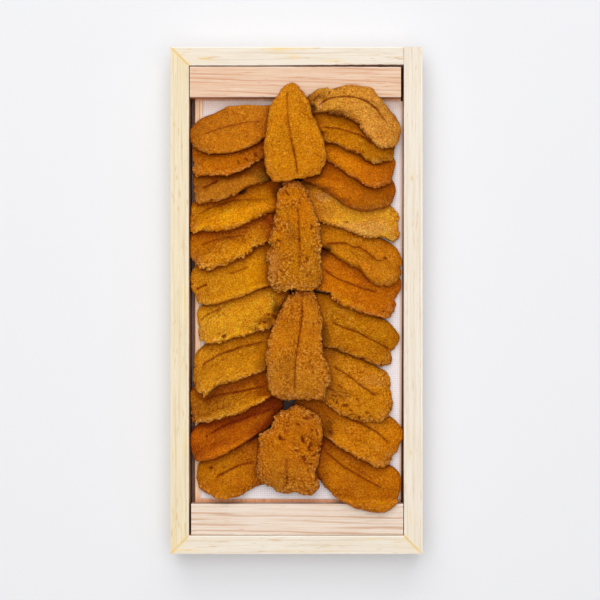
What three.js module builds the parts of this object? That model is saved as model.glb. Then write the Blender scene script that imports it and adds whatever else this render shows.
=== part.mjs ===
// Sea urchin roe in its shallow wooden box: a frame of four strips, a raised inner board with a
// batten across each end, a sheet of absorbent paper, and the soft lobes of roe laid on it.
// Millimetres. +Z is up, +Y runs along the box, and the origin is the centre of its underside.
import * as THREE from "three";

// The box.
const BOX_WIDTH = 100;
const BOX_LENGTH = 201;
const BOX_HEIGHT = 25;
const WALL = 7.4;
const GAP = 0.3; // clearance kept between pieces that touch
const INNER_X = BOX_WIDTH / 2 - WALL;
const INNER_Y = BOX_LENGTH / 2 - WALL;

// The raised insert, from the base upwards.
const BASE_THICKNESS = 3;
const FOOT_HEIGHT = 10.1;
const BOARD_THICKNESS = 3;
const BATTEN_HEIGHT = 7.5;
const BATTEN_BREADTH = 12.2;
const FOOT_BREADTH = 10;
const FOOT_INSET = 4; // how far each foot stands in from the frame, out of sight below the board
const FOOT_BOTTOM = BASE_THICKNESS + GAP;
const BOARD_BOTTOM = FOOT_BOTTOM + FOOT_HEIGHT + GAP;
const BOARD_TOP = BOARD_BOTTOM + BOARD_THICKNESS;
const BATTEN_BOTTOM = BOARD_TOP + GAP;
const BATTEN_TOP = BATTEN_BOTTOM + BATTEN_HEIGHT;
const BOARD_LEFT = -40.9; // the board lies against the right wall and leaves a slot on the left
const BOARD_RIGHT = 41.8;
const BACK_BATTEN_RIGHT = 41.4; // each batten stops a little short of one wall
const FRONT_BATTEN_LEFT = -41.7;
const BATTEN_OUTER_Y = INNER_Y - GAP;
const BATTEN_INNER_Y = BATTEN_OUTER_Y - BATTEN_BREADTH;

// The paper, laid slightly askew.
const PAPER_WIDTH = 80;
const PAPER_LENGTH = 159.3;
const PAPER_THICKNESS = 0.2;
const PAPER_TURN = THREE.MathUtils.degToRad(-0.3);
const PAPER_CENTRE = [1.9, 0.25];
const PAPER_TOP = BATTEN_BOTTOM + PAPER_THICKNESS;

const WALL_COLOUR = "#f0e6cd";
const BOARD_COLOUR = "#d9b48c";
const BATTEN_COLOUR = "#ecd3b8";
const PAPER_COLOUR = "#e4dfe2";
const WOOD_ROUGHNESS = 0.7;
const PAPER_ROUGHNESS = 0.9;
const ROE_ROUGHNESS = 0.45;

// The lobes. Each lies along a bowed centre line from its outer end to its inner end. Its width is
// the full breadth, its taper widens the outer half by that share and narrows the inner one, and the
// roundness of an end is 2 for an ellipse and higher for a blunter end. In each column the last lobe
// is laid first, so each one leans on the next. The centre lobes lie on top of both columns.
const SIDE_SAG = 0.13; // how sharply an unsupported stretch bends down, per millimetre
const CENTRE_SAG = 0.06;

// outer end x, y, inner end x, y, bow, width, taper, outer and inner roundness, thickness, colour
const LEFT_LOBES = [
  [-42.0, 64.4, -3.0, 71.7, -0.4, 18.2, 0.03, 2.2, 3.4, 5.2, "#be7323"],
  [-41.1, 56.4, -3.0, 66.0, -0.8, 17.8, 0.05, 4.0, 3.4, 5.0, "#d7820a"],
  [-40.7, 45.7, -1.5, 55.6, 0.0, 17.4, 0.05, 3.0, 4.4, 5.2, "#ac6c26"],
  [-42.0, 33.5, -1.5, 44.8, 0.0, 18.2, 0.05, 2.4, 4.4, 5.6, "#d79614"],
  [-42.0, 20.0, -1.5, 33.0, 0.0, 20.2, 0.1, 2.6, 4.4, 5.6, "#cd8714"],
  [-42.0, 6.5, -1.5, 16.0, 0.0, 19.8, 0.05, 2.6, 4.4, 5.6, "#d2911e"],
  [-39.4, -9.7, -1.5, 0.0, -0.8, 19.4, 0.0, 2.6, 4.4, 5.6, "#e19b23"],
  [-40.0, -31.5, -1.5, -15.4, 2.8, 19.4, 0.1, 2.4, 4.4, 5.6, "#d79123"],
  [-42.0, -42.2, -1.5, -27.2, 0.0, 19.4, 0.05, 2.6, 4.4, 5.6, "#be780f"],
  [-42.0, -58.4, -3.8, -42.1, -0.4, 18.6, 0.0, 2.6, 3.4, 5.6, "#b95a05"],
  [-40.0, -70.7, -2.5, -60.0, -0.8, 20.6, 0.05, 2.5, 3.4, 5.6, "#be7805"],
];
const RIGHT_LOBES = [
  [38.3, 61.2, 6.6, 77.4, 7.1, 15.0, 0.15, 2.4, 2.6, 5.4, "#c37d32"],
  [38.3, 58.4, 2.0, 71.4, 1.2, 16.6, 0.05, 2.6, 3.4, 4.8, "#be780a"],
  [38.3, 50.5, 2.0, 66.0, 0.0, 17.8, 0.05, 3.0, 3.4, 5.0, "#d77d00"],
  [39.4, 42.2, 1.5, 54.6, -1.2, 19.0, 0.0, 2.4, 4.4, 5.6, "#b96400"],
  [40.6, 29.5, 1.5, 41.2, 0.0, 17.8, -0.08, 3.4, 4.4, 5.6, "#e19b1e"],
  [41.6, 12.9, 2.5, 28.0, -0.8, 18.2, 0.1, 2.6, 3.4, 5.6, "#be7d1e"],
  [41.6, 2.2, 1.5, 15.2, -1.6, 19.8, 0.05, 2.8, 4.4, 5.6, "#cd7300"],
  [40.2, -19.6, 1.5, -3.0, 0.0, 18.6, -0.05, 3.0, 4.4, 5.6, "#be7800"],
  [37.9, -40.2, 1.5, -24.2, 0.0, 21.0, 0.0, 3.2, 4.4, 5.6, "#cd8c14"],
  [41.0, -59.6, 0.0, -38.9, -0.4, 19.8, 0.05, 2.6, 3.4, 5.6, "#cd8714"],
  [41.4, -78.2, 2.5, -57.6, -0.8, 22.8, 0.05, 2.5, 3.4, 5.6, "#c87300"],
];
const CENTRE_LOBES = [
  [-0.2, 47.3, -2.5, 86.1, 0.0, 21.4, 0.36, 3.0, 2.0, 5.6, "#d28c14"],
  [-0.6, 3.8, -1.0, 48.3, 0.0, 18.2, 0.3, 3.6, 2.4, 5.6, "#cd7d0f"],
  [0.6, -39.4, 2.2, 4.4, 0.0, 21.4, 0.26, 3.4, 2.6, 5.6, "#c88223"],
  [-3.7, -76.6, 0.2, -41.4, 0.0, 25.7, 0.06, 3.4, 2.4, 5.6, "#c8780f"],
];

// ---- Wooden pieces ----

function material(colour, roughness) {
  return new THREE.MeshStandardMaterial({ color: colour, roughness, metalness: 0 });
}

function named(name, geometry, colour, roughness) {
  const mesh = new THREE.Mesh(geometry, material(colour, roughness));
  mesh.name = name;
  return mesh;
}

// A block between two heights over the rectangle from (x0, y0) to (x1, y1).
function block(name, [x0, x1], [y0, y1], [z0, z1], colour) {
  const mesh = named(name, new THREE.BoxGeometry(x1 - x0, y1 - y0, z1 - z0), colour, WOOD_ROUGHNESS);
  mesh.position.set((x0 + x1) / 2, (y0 + y1) / 2, (z0 + z1) / 2);
  return mesh;
}

// A frame strip: its outline in plan, raised to the height of the box.
function strip(name, corners) {
  const outline = new THREE.Shape(corners.map(([x, y]) => new THREE.Vector2(x, y)));
  const geometry = new THREE.ExtrudeGeometry(outline, { depth: BOX_HEIGHT, bevelEnabled: false });
  return named(name, geometry, WALL_COLOUR, WOOD_ROUGHNESS);
}

// Three corners are mitred. At the back right corner the right strip runs through.
function frameStrips() {
  const outX = BOX_WIDTH / 2;
  const outY = BOX_LENGTH / 2;
  const slit = GAP / Math.SQRT2; // along an axis, the clearance across a 45 degree joint
  return [
    strip("wall_left", [[-outX, -outY + slit], [-INNER_X, -INNER_Y + slit],
      [-INNER_X, INNER_Y - slit], [-outX, outY - slit]]),
    strip("wall_right", [[INNER_X, -INNER_Y + slit], [outX, -outY + slit], [outX, outY], [INNER_X, outY]]),
    strip("wall_back", [[-outX + slit, outY], [-INNER_X + slit, INNER_Y],
      [INNER_X - GAP, INNER_Y], [INNER_X - GAP, outY]]),
    strip("wall_front", [[-outX + slit, -outY], [outX - slit, -outY],
      [INNER_X - slit, -INNER_Y], [-INNER_X + slit, -INNER_Y]]),
  ];
}

function insertPieces() {
  const inside = [-INNER_X + GAP, INNER_X - GAP];
  const length = [-BATTEN_OUTER_Y, BATTEN_OUTER_Y];
  const board = [BOARD_LEFT, BOARD_RIGHT];
  const footZ = [FOOT_BOTTOM, FOOT_BOTTOM + FOOT_HEIGHT];
  const leftFoot = [inside[0] + FOOT_INSET, inside[0] + FOOT_INSET + FOOT_BREADTH];
  const rightFoot = [inside[1] - FOOT_INSET - FOOT_BREADTH, inside[1] - FOOT_INSET];
  const battenZ = [BATTEN_BOTTOM, BATTEN_TOP];
  const backY = [BATTEN_INNER_Y, BATTEN_OUTER_Y];
  const frontY = [-BATTEN_OUTER_Y, -BATTEN_INNER_Y];
  return [
    block("base_board", inside, length, [0, BASE_THICKNESS], BOARD_COLOUR),
    block("foot_left", leftFoot, length, footZ, BOARD_COLOUR),
    block("foot_right", rightFoot, length, footZ, BOARD_COLOUR),
    block("inner_board", board, length, [BOARD_BOTTOM, BOARD_TOP], BOARD_COLOUR),
    block("batten_back", [inside[0], BACK_BATTEN_RIGHT], backY, battenZ, BATTEN_COLOUR),
    block("batten_front", [FRONT_BATTEN_LEFT, inside[1]], frontY, battenZ, BATTEN_COLOUR),
  ];
}

function liner() {
  const sheet = new THREE.BoxGeometry(PAPER_WIDTH, PAPER_LENGTH, PAPER_THICKNESS);
  const mesh = named("paper", sheet, PAPER_COLOUR, PAPER_ROUGHNESS);
  mesh.position.set(...PAPER_CENTRE, PAPER_TOP - PAPER_THICKNESS / 2);
  mesh.rotation.z = PAPER_TURN;
  return mesh;
}

// ---- The height of all that lies in the box, as a square grid of samples ----

const STEP = 1;
const COLUMNS = 2 * Math.ceil(BOX_WIDTH / 2 / STEP) + 1;
const ROWS = 2 * Math.ceil(BOX_LENGTH / 2 / STEP) + 1;
const columnOf = (x) => x / STEP + (COLUMNS - 1) / 2;
const rowOf = (y) => y / STEP + (ROWS - 1) / 2;
const OVERLAP_SHARE = 0.05; // how far past a triangle's side a sample still counts as under it
const FLAT_AREA = 1e-9; // a triangle with less than this is seen edge-on in plan

function emptyBox() {
  const field = new Float64Array(COLUMNS * ROWS).fill(PAPER_TOP);
  for (let row = 0; row < ROWS; row++) {
    const y = (row - (ROWS - 1) / 2) * STEP;
    if (Math.abs(y) > BATTEN_INNER_Y - STEP) field.fill(BATTEN_TOP, row * COLUMNS, (row + 1) * COLUMNS);
  }
  return field;
}

// For each sample, the highest of the samples within a number of steps of it.
function highestNear(field, reach) {
  const result = new Float64Array(field.length);
  for (let row = 0; row < ROWS; row++) {
    for (let column = 0; column < COLUMNS; column++) {
      let highest = -Infinity;
      for (let r = Math.max(0, row - reach); r <= Math.min(ROWS - 1, row + reach); r++) {
        for (let c = Math.max(0, column - reach); c <= Math.min(COLUMNS - 1, column + reach); c++) {
          highest = Math.max(highest, field[r * COLUMNS + c]);
        }
      }
      result[row * COLUMNS + column] = highest;
    }
  }
  return result;
}

function heightAt(field, x, y) {
  const column = THREE.MathUtils.clamp(columnOf(x), 0, COLUMNS - 1.001);
  const row = THREE.MathUtils.clamp(rowOf(y), 0, ROWS - 1.001);
  const c = Math.floor(column);
  const r = Math.floor(row);
  const corner = r * COLUMNS + c;
  const near = THREE.MathUtils.lerp(field[corner], field[corner + 1], column - c);
  const far = THREE.MathUtils.lerp(field[corner + COLUMNS], field[corner + COLUMNS + 1], column - c);
  return THREE.MathUtils.lerp(near, far, row - r);
}

// Calls visit(sample index, the three corners' weights) for each sample under a plan triangle.
function samplesUnder([a, b, c], visit) {
  const area = (b.x - a.x) * (c.y - a.y) - (c.x - a.x) * (b.y - a.y);
  if (Math.abs(area) < FLAT_AREA) return;
  const range = (values, toIndex, last) => [
    Math.max(0, Math.floor(toIndex(Math.min(...values)))),
    Math.min(last, Math.ceil(toIndex(Math.max(...values)))),
  ];
  const [column0, column1] = range([a.x, b.x, c.x], columnOf, COLUMNS - 1);
  const [row0, row1] = range([a.y, b.y, c.y], rowOf, ROWS - 1);
  for (let row = row0; row <= row1; row++) {
    for (let column = column0; column <= column1; column++) {
      const x = (column - (COLUMNS - 1) / 2) * STEP;
      const y = (row - (ROWS - 1) / 2) * STEP;
      const toB = ((x - a.x) * (c.y - a.y) - (c.x - a.x) * (y - a.y)) / area;
      const toC = ((b.x - a.x) * (y - a.y) - (x - a.x) * (b.y - a.y)) / area;
      if (Math.min(toB, toC, 1 - toB - toC) < -OVERLAP_SHARE) continue;
      visit(row * COLUMNS + column, [1 - toB - toC, toB, toC]);
    }
  }
}

// ---- Roe lobes ----

const SPOKES = 24;
const RINGS = [0, 0.42, 0.74, 0.93, 1]; // shares of the way from the middle to the edge
const EDGE_SHARE = 0.34; // the edge's height, as a share of the thickness
const DOME_POWER = 2.6; // higher for a flatter middle and a steeper edge
const CURL_POWER = 6; // higher for an underside that stays flat nearer to the edge
const GROOVE_DEPTH = 0.9;
const GROOVE_BREADTH = 0.2; // as a share of half the lobe's width
const GROOVE_FADE = 4; // higher for a groove that runs nearer to the edge
const WALL_CLEARANCE = 0.35;
const SETTLING_PASSES = 400;
const LIFTING_PASSES = 4;

// A point of the lobe's plan, at a share of the way out and an angle round the lobe.
function planPoint(lobe, share, angle) {
  const { outer, inner, bow, width, taper, ends, turn } = lobe;
  const cos = Math.cos(angle);
  const sin = Math.sin(angle) * turn;
  const roundness = cos < 0 ? ends[0] : ends[1];
  const along = share * Math.sign(cos) * Math.abs(cos) ** (2 / roundness);
  const across = share * Math.sign(sin) * Math.abs(sin) ** (2 / roundness);
  const half = new THREE.Vector2(inner[0] - outer[0], inner[1] - outer[1]).divideScalar(2);
  const side = new THREE.Vector2(-half.y, half.x).normalize().multiplyScalar(turn);
  const heading = half.clone().addScaledVector(side, -2 * along * bow).normalize();
  const outward = new THREE.Vector2(-heading.y, heading.x).multiplyScalar(turn);
  const point = new THREE.Vector2((outer[0] + inner[0]) / 2, (outer[1] + inner[1]) / 2)
    .addScaledVector(half, along)
    .addScaledVector(side, bow * (1 - along * along))
    .addScaledVector(outward, (width / 2) * across * (1 - taper * along));
  const limit = INNER_X - WALL_CLEARANCE;
  return { x: THREE.MathUtils.clamp(point.x, -limit, limit), y: point.y, across };
}

// Heights above the surface that the lobe lies on: a flat dome with a groove along its middle, and
// an underside that curls up to the edge.
function topAbove(lobe, share, across) {
  const dome = EDGE_SHARE + (1 - EDGE_SHARE) * Math.sqrt(1 - share ** DOME_POWER);
  const groove = GROOVE_DEPTH * Math.exp(-((across / GROOVE_BREADTH) ** 2)) * (1 - share ** GROOVE_FADE);
  return lobe.thick * dome - groove;
}

function underAbove(lobe, share) {
  return lobe.thick * EDGE_SHARE * (1 - Math.sqrt(1 - share ** CURL_POWER));
}

// The plan points ring by ring, and the triangles between them, as indices into that list.
function planGrid(lobe) {
  const points = [{ ...planPoint(lobe, 0, 0), share: 0 }];
  const triangles = [];
  for (const share of RINGS.slice(1)) {
    for (let spoke = 0; spoke < SPOKES; spoke++) {
      points.push({ ...planPoint(lobe, share, (2 * Math.PI * spoke) / SPOKES), share });
    }
  }
  for (let spoke = 0; spoke < SPOKES; spoke++) {
    const next = (spoke + 1) % SPOKES;
    triangles.push([0, 1 + spoke, 1 + next]);
    for (let ring = 0; ring < RINGS.length - 2; ring++) {
      const near = 1 + ring * SPOKES;
      const far = near + SPOKES;
      triangles.push([near + spoke, far + spoke, far + next], [near + spoke, far + next, near + next]);
    }
  }
  return { points, triangles };
}

// The surface that a lobe comes to rest on: a sheet over its plan that sags until it meets what is
// below. Every sample settles at the mean of its neighbours less the sag, or on what holds it up.
function restingSheet(solid, points, triangles, sag) {
  const inPlan = new Float64Array(solid.length);
  for (const triangle of triangles) {
    samplesUnder(triangle.map((index) => points[index]), (sample) => (inPlan[sample] = 1));
  }
  const covered = highestNear(inPlan, 2);
  const samples = [...covered.keys()].filter((sample) => covered[sample] > 0);
  const start = Math.max(...samples.map((sample) => solid[sample]));
  const sheet = Float64Array.from(solid, (height, sample) => (covered[sample] > 0 ? start : height));
  const neighbours = samples.map((sample) =>
    [sample - 1, sample + 1, sample - COLUMNS, sample + COLUMNS].filter((next) => covered[next] > 0));
  for (let pass = 0; pass < SETTLING_PASSES; pass++) {
    samples.forEach((sample, i) => {
      const sum = neighbours[i].reduce((total, next) => total + sheet[next], 0);
      const hanging = sum / neighbours[i].length - (sag * STEP * STEP) / 4;
      sheet[sample] = Math.max(solid[sample], hanging);
    });
  }
  return sheet;
}

// Lays a lobe on the field: on its resting sheet, raised where the straight edges between its
// points would still cut into what is below.
function layLobe(lobe, field) {
  const { points, triangles } = planGrid(lobe);
  const solid = highestNear(field, 1);
  const sheet = restingSheet(solid, points, triangles, lobe.sag);
  for (const point of points) point.rest = heightAt(sheet, point.x, point.y) + GAP;
  const under = (point) => point.rest + underAbove(lobe, point.share);
  const top = (point) => point.rest + topAbove(lobe, point.share, point.across);
  const blend = (corners, weights, height) =>
    corners.reduce((sum, corner, i) => sum + weights[i] * height(corner), 0);

  for (let pass = 0; pass < LIFTING_PASSES; pass++) {
    const lifts = new Float64Array(points.length);
    for (const triangle of triangles) {
      const corners = triangle.map((index) => points[index]);
      samplesUnder(corners, (sample, weights) => {
        const short = solid[sample] + GAP - blend(corners, weights, under);
        for (const index of triangle) lifts[index] = Math.max(lifts[index], short);
      });
    }
    points.forEach((point, index) => (point.rest += lifts[index]));
  }
  for (const triangle of triangles) {
    const corners = triangle.map((index) => points[index]);
    samplesUnder(corners, (sample, weights) => {
      field[sample] = Math.max(field[sample], blend(corners, weights, top));
    });
  }
  return closedShell(points, triangles, top, under);
}

// The top and the underside, which share the outermost ring.
function closedShell(points, triangles, top, under) {
  const shared = points.length - SPOKES;
  const heights = [...points.map(top), ...points.slice(0, shared).map(under)];
  const positions = heights.flatMap((height, i) => {
    const point = points[i % points.length];
    return [point.x, point.y, height];
  });
  const below = (index) => (index < shared ? index + points.length : index);
  const faces = triangles.flatMap(([a, b, c]) => [a, b, c, below(a), below(c), below(b)]);
  const geometry = new THREE.BufferGeometry();
  geometry.setAttribute("position", new THREE.Float32BufferAttribute(positions, 3));
  geometry.setIndex(faces);
  geometry.computeVertexNormals();
  return geometry;
}

// Lays one column of lobes, from its last to its first, and returns them as named meshes. Turn is 1
// where a lobe's left-hand side faces +Y, as seen from its outer end, and -1 in the other columns.
function layColumn(column, rows, turn, sag, field) {
  const meshes = [];
  for (let i = rows.length - 1; i >= 0; i--) {
    const [outerX, outerY, innerX, innerY, bow, width, taper, outerEnd, innerEnd, thick, tone] = rows[i];
    const lobe = { outer: [outerX, outerY], inner: [innerX, innerY], ends: [outerEnd, innerEnd] };
    const geometry = layLobe({ ...lobe, bow, width, taper, thick, turn, sag }, field);
    meshes.push(named(`roe_${column}_${i + 1}`, geometry, tone, ROE_ROUGHNESS));
  }
  return meshes;
}

function roe() {
  const field = emptyBox();
  return [
    ...layColumn("left", LEFT_LOBES, 1, SIDE_SAG, field),
    ...layColumn("right", RIGHT_LOBES, -1, SIDE_SAG, field),
    ...layColumn("centre", CENTRE_LOBES, -1, CENTRE_SAG, field),
  ];
}

const group = new THREE.Group();
group.add(...frameStrips(), ...insertPieces(), liner(), ...roe());

export default group;
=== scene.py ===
# Sea urchin roe in its wooden box: the looks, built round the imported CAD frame.
# Shapes are worked out in millimetres and written to Blender in metres.
import math
import bmesh
import bpy
import numpy as np
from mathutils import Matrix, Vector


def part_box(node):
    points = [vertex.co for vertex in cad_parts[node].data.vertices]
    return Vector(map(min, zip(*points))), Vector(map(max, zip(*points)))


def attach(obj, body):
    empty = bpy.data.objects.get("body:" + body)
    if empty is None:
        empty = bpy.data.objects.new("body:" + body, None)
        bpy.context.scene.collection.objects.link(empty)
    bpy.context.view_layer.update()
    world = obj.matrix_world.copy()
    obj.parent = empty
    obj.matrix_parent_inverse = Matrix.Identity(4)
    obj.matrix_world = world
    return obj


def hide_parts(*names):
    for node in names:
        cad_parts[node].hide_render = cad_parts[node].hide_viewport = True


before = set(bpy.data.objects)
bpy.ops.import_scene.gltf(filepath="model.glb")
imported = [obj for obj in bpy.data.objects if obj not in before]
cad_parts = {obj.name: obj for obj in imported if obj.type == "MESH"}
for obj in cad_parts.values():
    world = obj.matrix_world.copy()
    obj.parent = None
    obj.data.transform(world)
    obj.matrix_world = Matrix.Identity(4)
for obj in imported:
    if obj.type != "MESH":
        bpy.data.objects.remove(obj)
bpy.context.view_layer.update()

MM = 0.001


# ---- Repeatable noise ----

def lattice_random(*key):
    """A number from 0 to 1 for each set of whole numbers, always the same for the same set."""
    mixed = np.zeros(np.broadcast(*key).shape, np.uint64)
    for part, factor in zip(key, (73856093, 19349663, 83492791, 2971215073)):
        mixed = mixed ^ (np.asarray(part, np.int64) * factor).astype(np.uint64)
        mixed = (mixed ^ (mixed >> np.uint64(15))) * np.uint64(2246822519)
        mixed = mixed & np.uint64(0xFFFFFFFF)
    mixed = mixed ^ (mixed >> np.uint64(13))
    return (mixed & np.uint64(0xFFFFFF)).astype(float) / 0xFFFFFF


def smooth_noise(points, size, seed):
    """Soft random hills, from -1 to 1, about size apart."""
    scaled = points / size
    low = np.floor(scaled).astype(np.int64)
    part = scaled - low
    part = part * part * (3 - 2 * part)
    total = np.zeros(len(points))
    for corner in np.ndindex(2, 2, 2):
        weight = np.ones(len(points))
        for axis in range(3):
            weight = weight * (part[:, axis] if corner[axis] else 1 - part[:, axis])
        total += weight * lattice_random(*(low[:, axis] + corner[axis] for axis in range(3)), seed)
    return 2 * total - 1


def grain_noise(points, size, seed):
    """For packed grains about size across: how far each point is from the nearest grain's middle,
    as a share of size, and a random number that is the same all over that grain."""
    scaled = points / size
    home = np.floor(scaled).astype(np.int64)
    nearest = np.full(len(points), np.inf)
    tag = np.zeros(len(points))
    for step in np.ndindex(3, 3, 3):
        cell = home + np.array(step) - 1
        key = [cell[:, axis] for axis in range(3)]
        middle = np.stack([cell[:, axis] + lattice_random(*key, seed + 11 * axis) for axis in range(3)], 1)
        far = np.linalg.norm(scaled - middle, axis=1)
        closer = far < nearest
        nearest = np.where(closer, far, nearest)
        tag = np.where(closer, lattice_random(*key, seed + 57), tag)
    return nearest, tag


def smoothstep(low, high, value):
    """Rises softly from 0 at low to 1 at high, or falls if low is the larger of the two."""
    share = np.clip((value - low) / (high - low), 0, 1)
    return share * share * (3 - 2 * share)


def linear(colour):
    """A hexadecimal sRGB colour as linear red, green and blue."""
    values = np.array([int(colour[i:i + 2], 16) for i in (1, 3, 5)]) / 255
    return np.where(values <= 0.04045, values / 12.92, ((values + 0.055) / 1.055) ** 2.4)


# ---- The box, from the frame ----

def box_mm(node):
    """The lowest and the highest corner of a CAD node, in millimetres."""
    low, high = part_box(node)
    return np.array(low) / MM, np.array(high) / MM


WALL_TOP = box_mm("wall_left")[1][2]
INNER_X = box_mm("wall_right")[0][0]
PAPER_TOP = box_mm("paper")[1][2]
BATTEN_TOP = box_mm("batten_back")[1][2]
BATTEN_INNER_Y = box_mm("batten_back")[0][1]
GAP = 0.3  # the air between a lobe and what it lies on or leans on


def in_scene(name, data):
    """A new object, linked to the scene."""
    thing = bpy.data.objects.new(name, data)
    bpy.context.scene.collection.objects.link(thing)
    return thing


def new_object(name, points, faces, material, smooth=True):
    """A mesh object from points in millimetres."""
    mesh = bpy.data.meshes.new(name)
    mesh.from_pydata([tuple(point) for point in np.asarray(points) * MM], [], faces)
    mesh.update()
    mesh.polygons.foreach_set("use_smooth", [smooth] * len(mesh.polygons))
    mesh.materials.append(material)
    return in_scene(name, mesh)


def grid_quads(columns, rows):
    """The corners of every cell of a grid of points that are numbered row by row."""
    across = columns + 1
    return [(a, a + 1, a + 1 + across, a + across)
            for row in range(rows) for a in range(row * across, row * across + columns)]


def grid_rim(columns, rows):
    """The outermost points of the same grid, in order."""
    across = columns + 1
    count = across * (rows + 1)
    return [*range(across), *range(2 * across - 1, count, across),
            *range(count - 2, count - across - 1, -1), *range(count - 2 * across, 0, -across)]


def inside_frame(points):
    """Keeps points in place, but no closer to the side strips than the gap."""
    points[:, 0] = np.clip(points[:, 0], GAP - INNER_X, INNER_X - GAP)


def add_values(piece, name, values):
    """One number for each point of the mesh, which its material reads by name."""
    layer = piece.data.attributes.new(name, "FLOAT", "POINT")
    layer.data.foreach_set("value", np.asarray(values, np.float32))


def add_tint(piece, colours):
    """A linear colour for each point of the mesh."""
    layer = piece.data.attributes.new("tint", "FLOAT_COLOR", "POINT")
    full = np.concatenate([colours, np.ones((len(colours), 1))], 1)
    layer.data.foreach_set("color", full.astype(np.float32).ravel())


# ---- Materials ----

class Nodes:
    """A short way to write a node tree."""

    def __init__(self, name):
        self.material = bpy.data.materials.new(name)
        self.material.use_nodes = True
        self.tree = self.material.node_tree
        self.tree.nodes.clear()
        self.output = self.add("ShaderNodeOutputMaterial")
        self.shader = self.add("ShaderNodeBsdfPrincipled")
        self.link(self.shader.outputs["BSDF"], self.output.inputs["Surface"])

    def add(self, kind, **settings):
        node = self.tree.nodes.new(kind)
        for key, value in settings.items():
            setattr(node, key, value)
        return node

    def link(self, source, target):
        self.tree.links.new(source, target)

    def put(self, socket, value):
        """Sets a socket to a number or a colour, or links it to another node's output."""
        if isinstance(value, bpy.types.NodeSocket):
            self.link(value, socket)
        elif isinstance(value, np.ndarray):
            socket.default_value = (*value, 1)
        else:
            socket.default_value = value

    def surface(self, colour, roughness, shine):
        """The colour, the roughness and the strength of reflections."""
        self.put(self.shader.inputs["Base Color"], colour)
        self.put(self.shader.inputs["Roughness"], roughness)
        self.put(self.shader.inputs["Specular IOR Level"], shine)

    def place(self, fineness=1.0, turn=0.0):
        """The point's place in millimetres times fineness, turned in plan."""
        coordinates = self.add("ShaderNodeTexCoord")
        mapping = self.add("ShaderNodeMapping", vector_type="POINT")
        mapping.inputs["Scale"].default_value = [part / MM for part in np.broadcast_to(fineness, 3)]
        mapping.inputs["Rotation"].default_value = (0, 0, turn)
        self.link(coordinates.outputs["Object"], mapping.inputs["Vector"])
        return mapping.outputs["Vector"]

    def split(self, vector):
        """The X, Y and Z of a vector."""
        node = self.add("ShaderNodeSeparateXYZ")
        self.link(vector, node.inputs[0])
        return node.outputs

    def noise(self, fineness, detail=2.0, roughness=0.5):
        """Noise with about fineness hills a millimetre, which may be a number for each axis."""
        node = self.add("ShaderNodeTexNoise")
        for socket, value in (("Scale", 1), ("Detail", detail), ("Roughness", roughness)):
            node.inputs[socket].default_value = value
        self.link(self.place(fineness), node.inputs["Vector"])
        return node.outputs["Fac"]

    def math(self, operation, first, second=0.0):
        node = self.add("ShaderNodeMath", operation=operation)
        self.put(node.inputs[0], first)
        self.put(node.inputs[1], second)
        return node.outputs[0]

    def spread(self, value, low, high, to_low=0.0, to_high=1.0):
        """A soft step: to_low where value is under low, to_high where it is over high."""
        node = self.add("ShaderNodeMapRange", interpolation_type="SMOOTHSTEP")
        for socket, part in zip(("Value", "From Min", "From Max", "To Min", "To Max"),
                                (value, low, high, to_low, to_high)):
            self.put(node.inputs[socket], part)
        return node.outputs["Result"]

    def mix(self, share, first, second, blend="MIX"):
        """A blend of two colours."""
        node = self.add("ShaderNodeMix", data_type="RGBA", blend_type=blend)
        self.put(node.inputs["Factor"], share)
        colour_sockets = [socket for socket in node.inputs if socket.type == "RGBA"]
        self.put(colour_sockets[0], first)
        self.put(colour_sockets[1], second)
        return next(socket for socket in node.outputs if socket.type == "RGBA")

    def attribute(self, name, output="Fac"):
        """What the mesh says under this name."""
        return self.add("ShaderNodeAttribute", attribute_name=name).outputs[output]

    def bump(self, height, strength, distance):
        """Fine relief, distance millimetres high."""
        node = self.add("ShaderNodeBump")
        self.put(node.inputs["Height"], height)
        self.put(node.inputs["Strength"], strength)
        self.put(node.inputs["Distance"], distance * MM)
        self.link(node.outputs["Normal"], self.shader.inputs["Normal"])


GRAIN_STRETCH = 0.035        # how much longer the grain is than wide, as a share
FLECK_STRETCH = 0.16 / 1.5   # the same for the short dark flecks
LINE_WANDER = 3.2            # how far the growth lines stray, in millimetres
LINE_TILT = 0.35             # how much they lean with the height
LINE_WIDTH = 0.26            # how wide their soft side is, as a share of their pitch
LINE_TINT = np.array([0.82, 0.68, 0.58])
FLECK_TINT = np.array([0.88, 0.66, 0.42])
# Painted highlight on the rounded upper edges of the wood.
HIGHLIGHT_WOOD = linear("#fffaf0")
# Painted shade: a warm brown for the shaded inner faces, square ends, joint and slots of the wood.
PAINTED_SHADE_WOOD = linear("#d67a3e")


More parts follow.
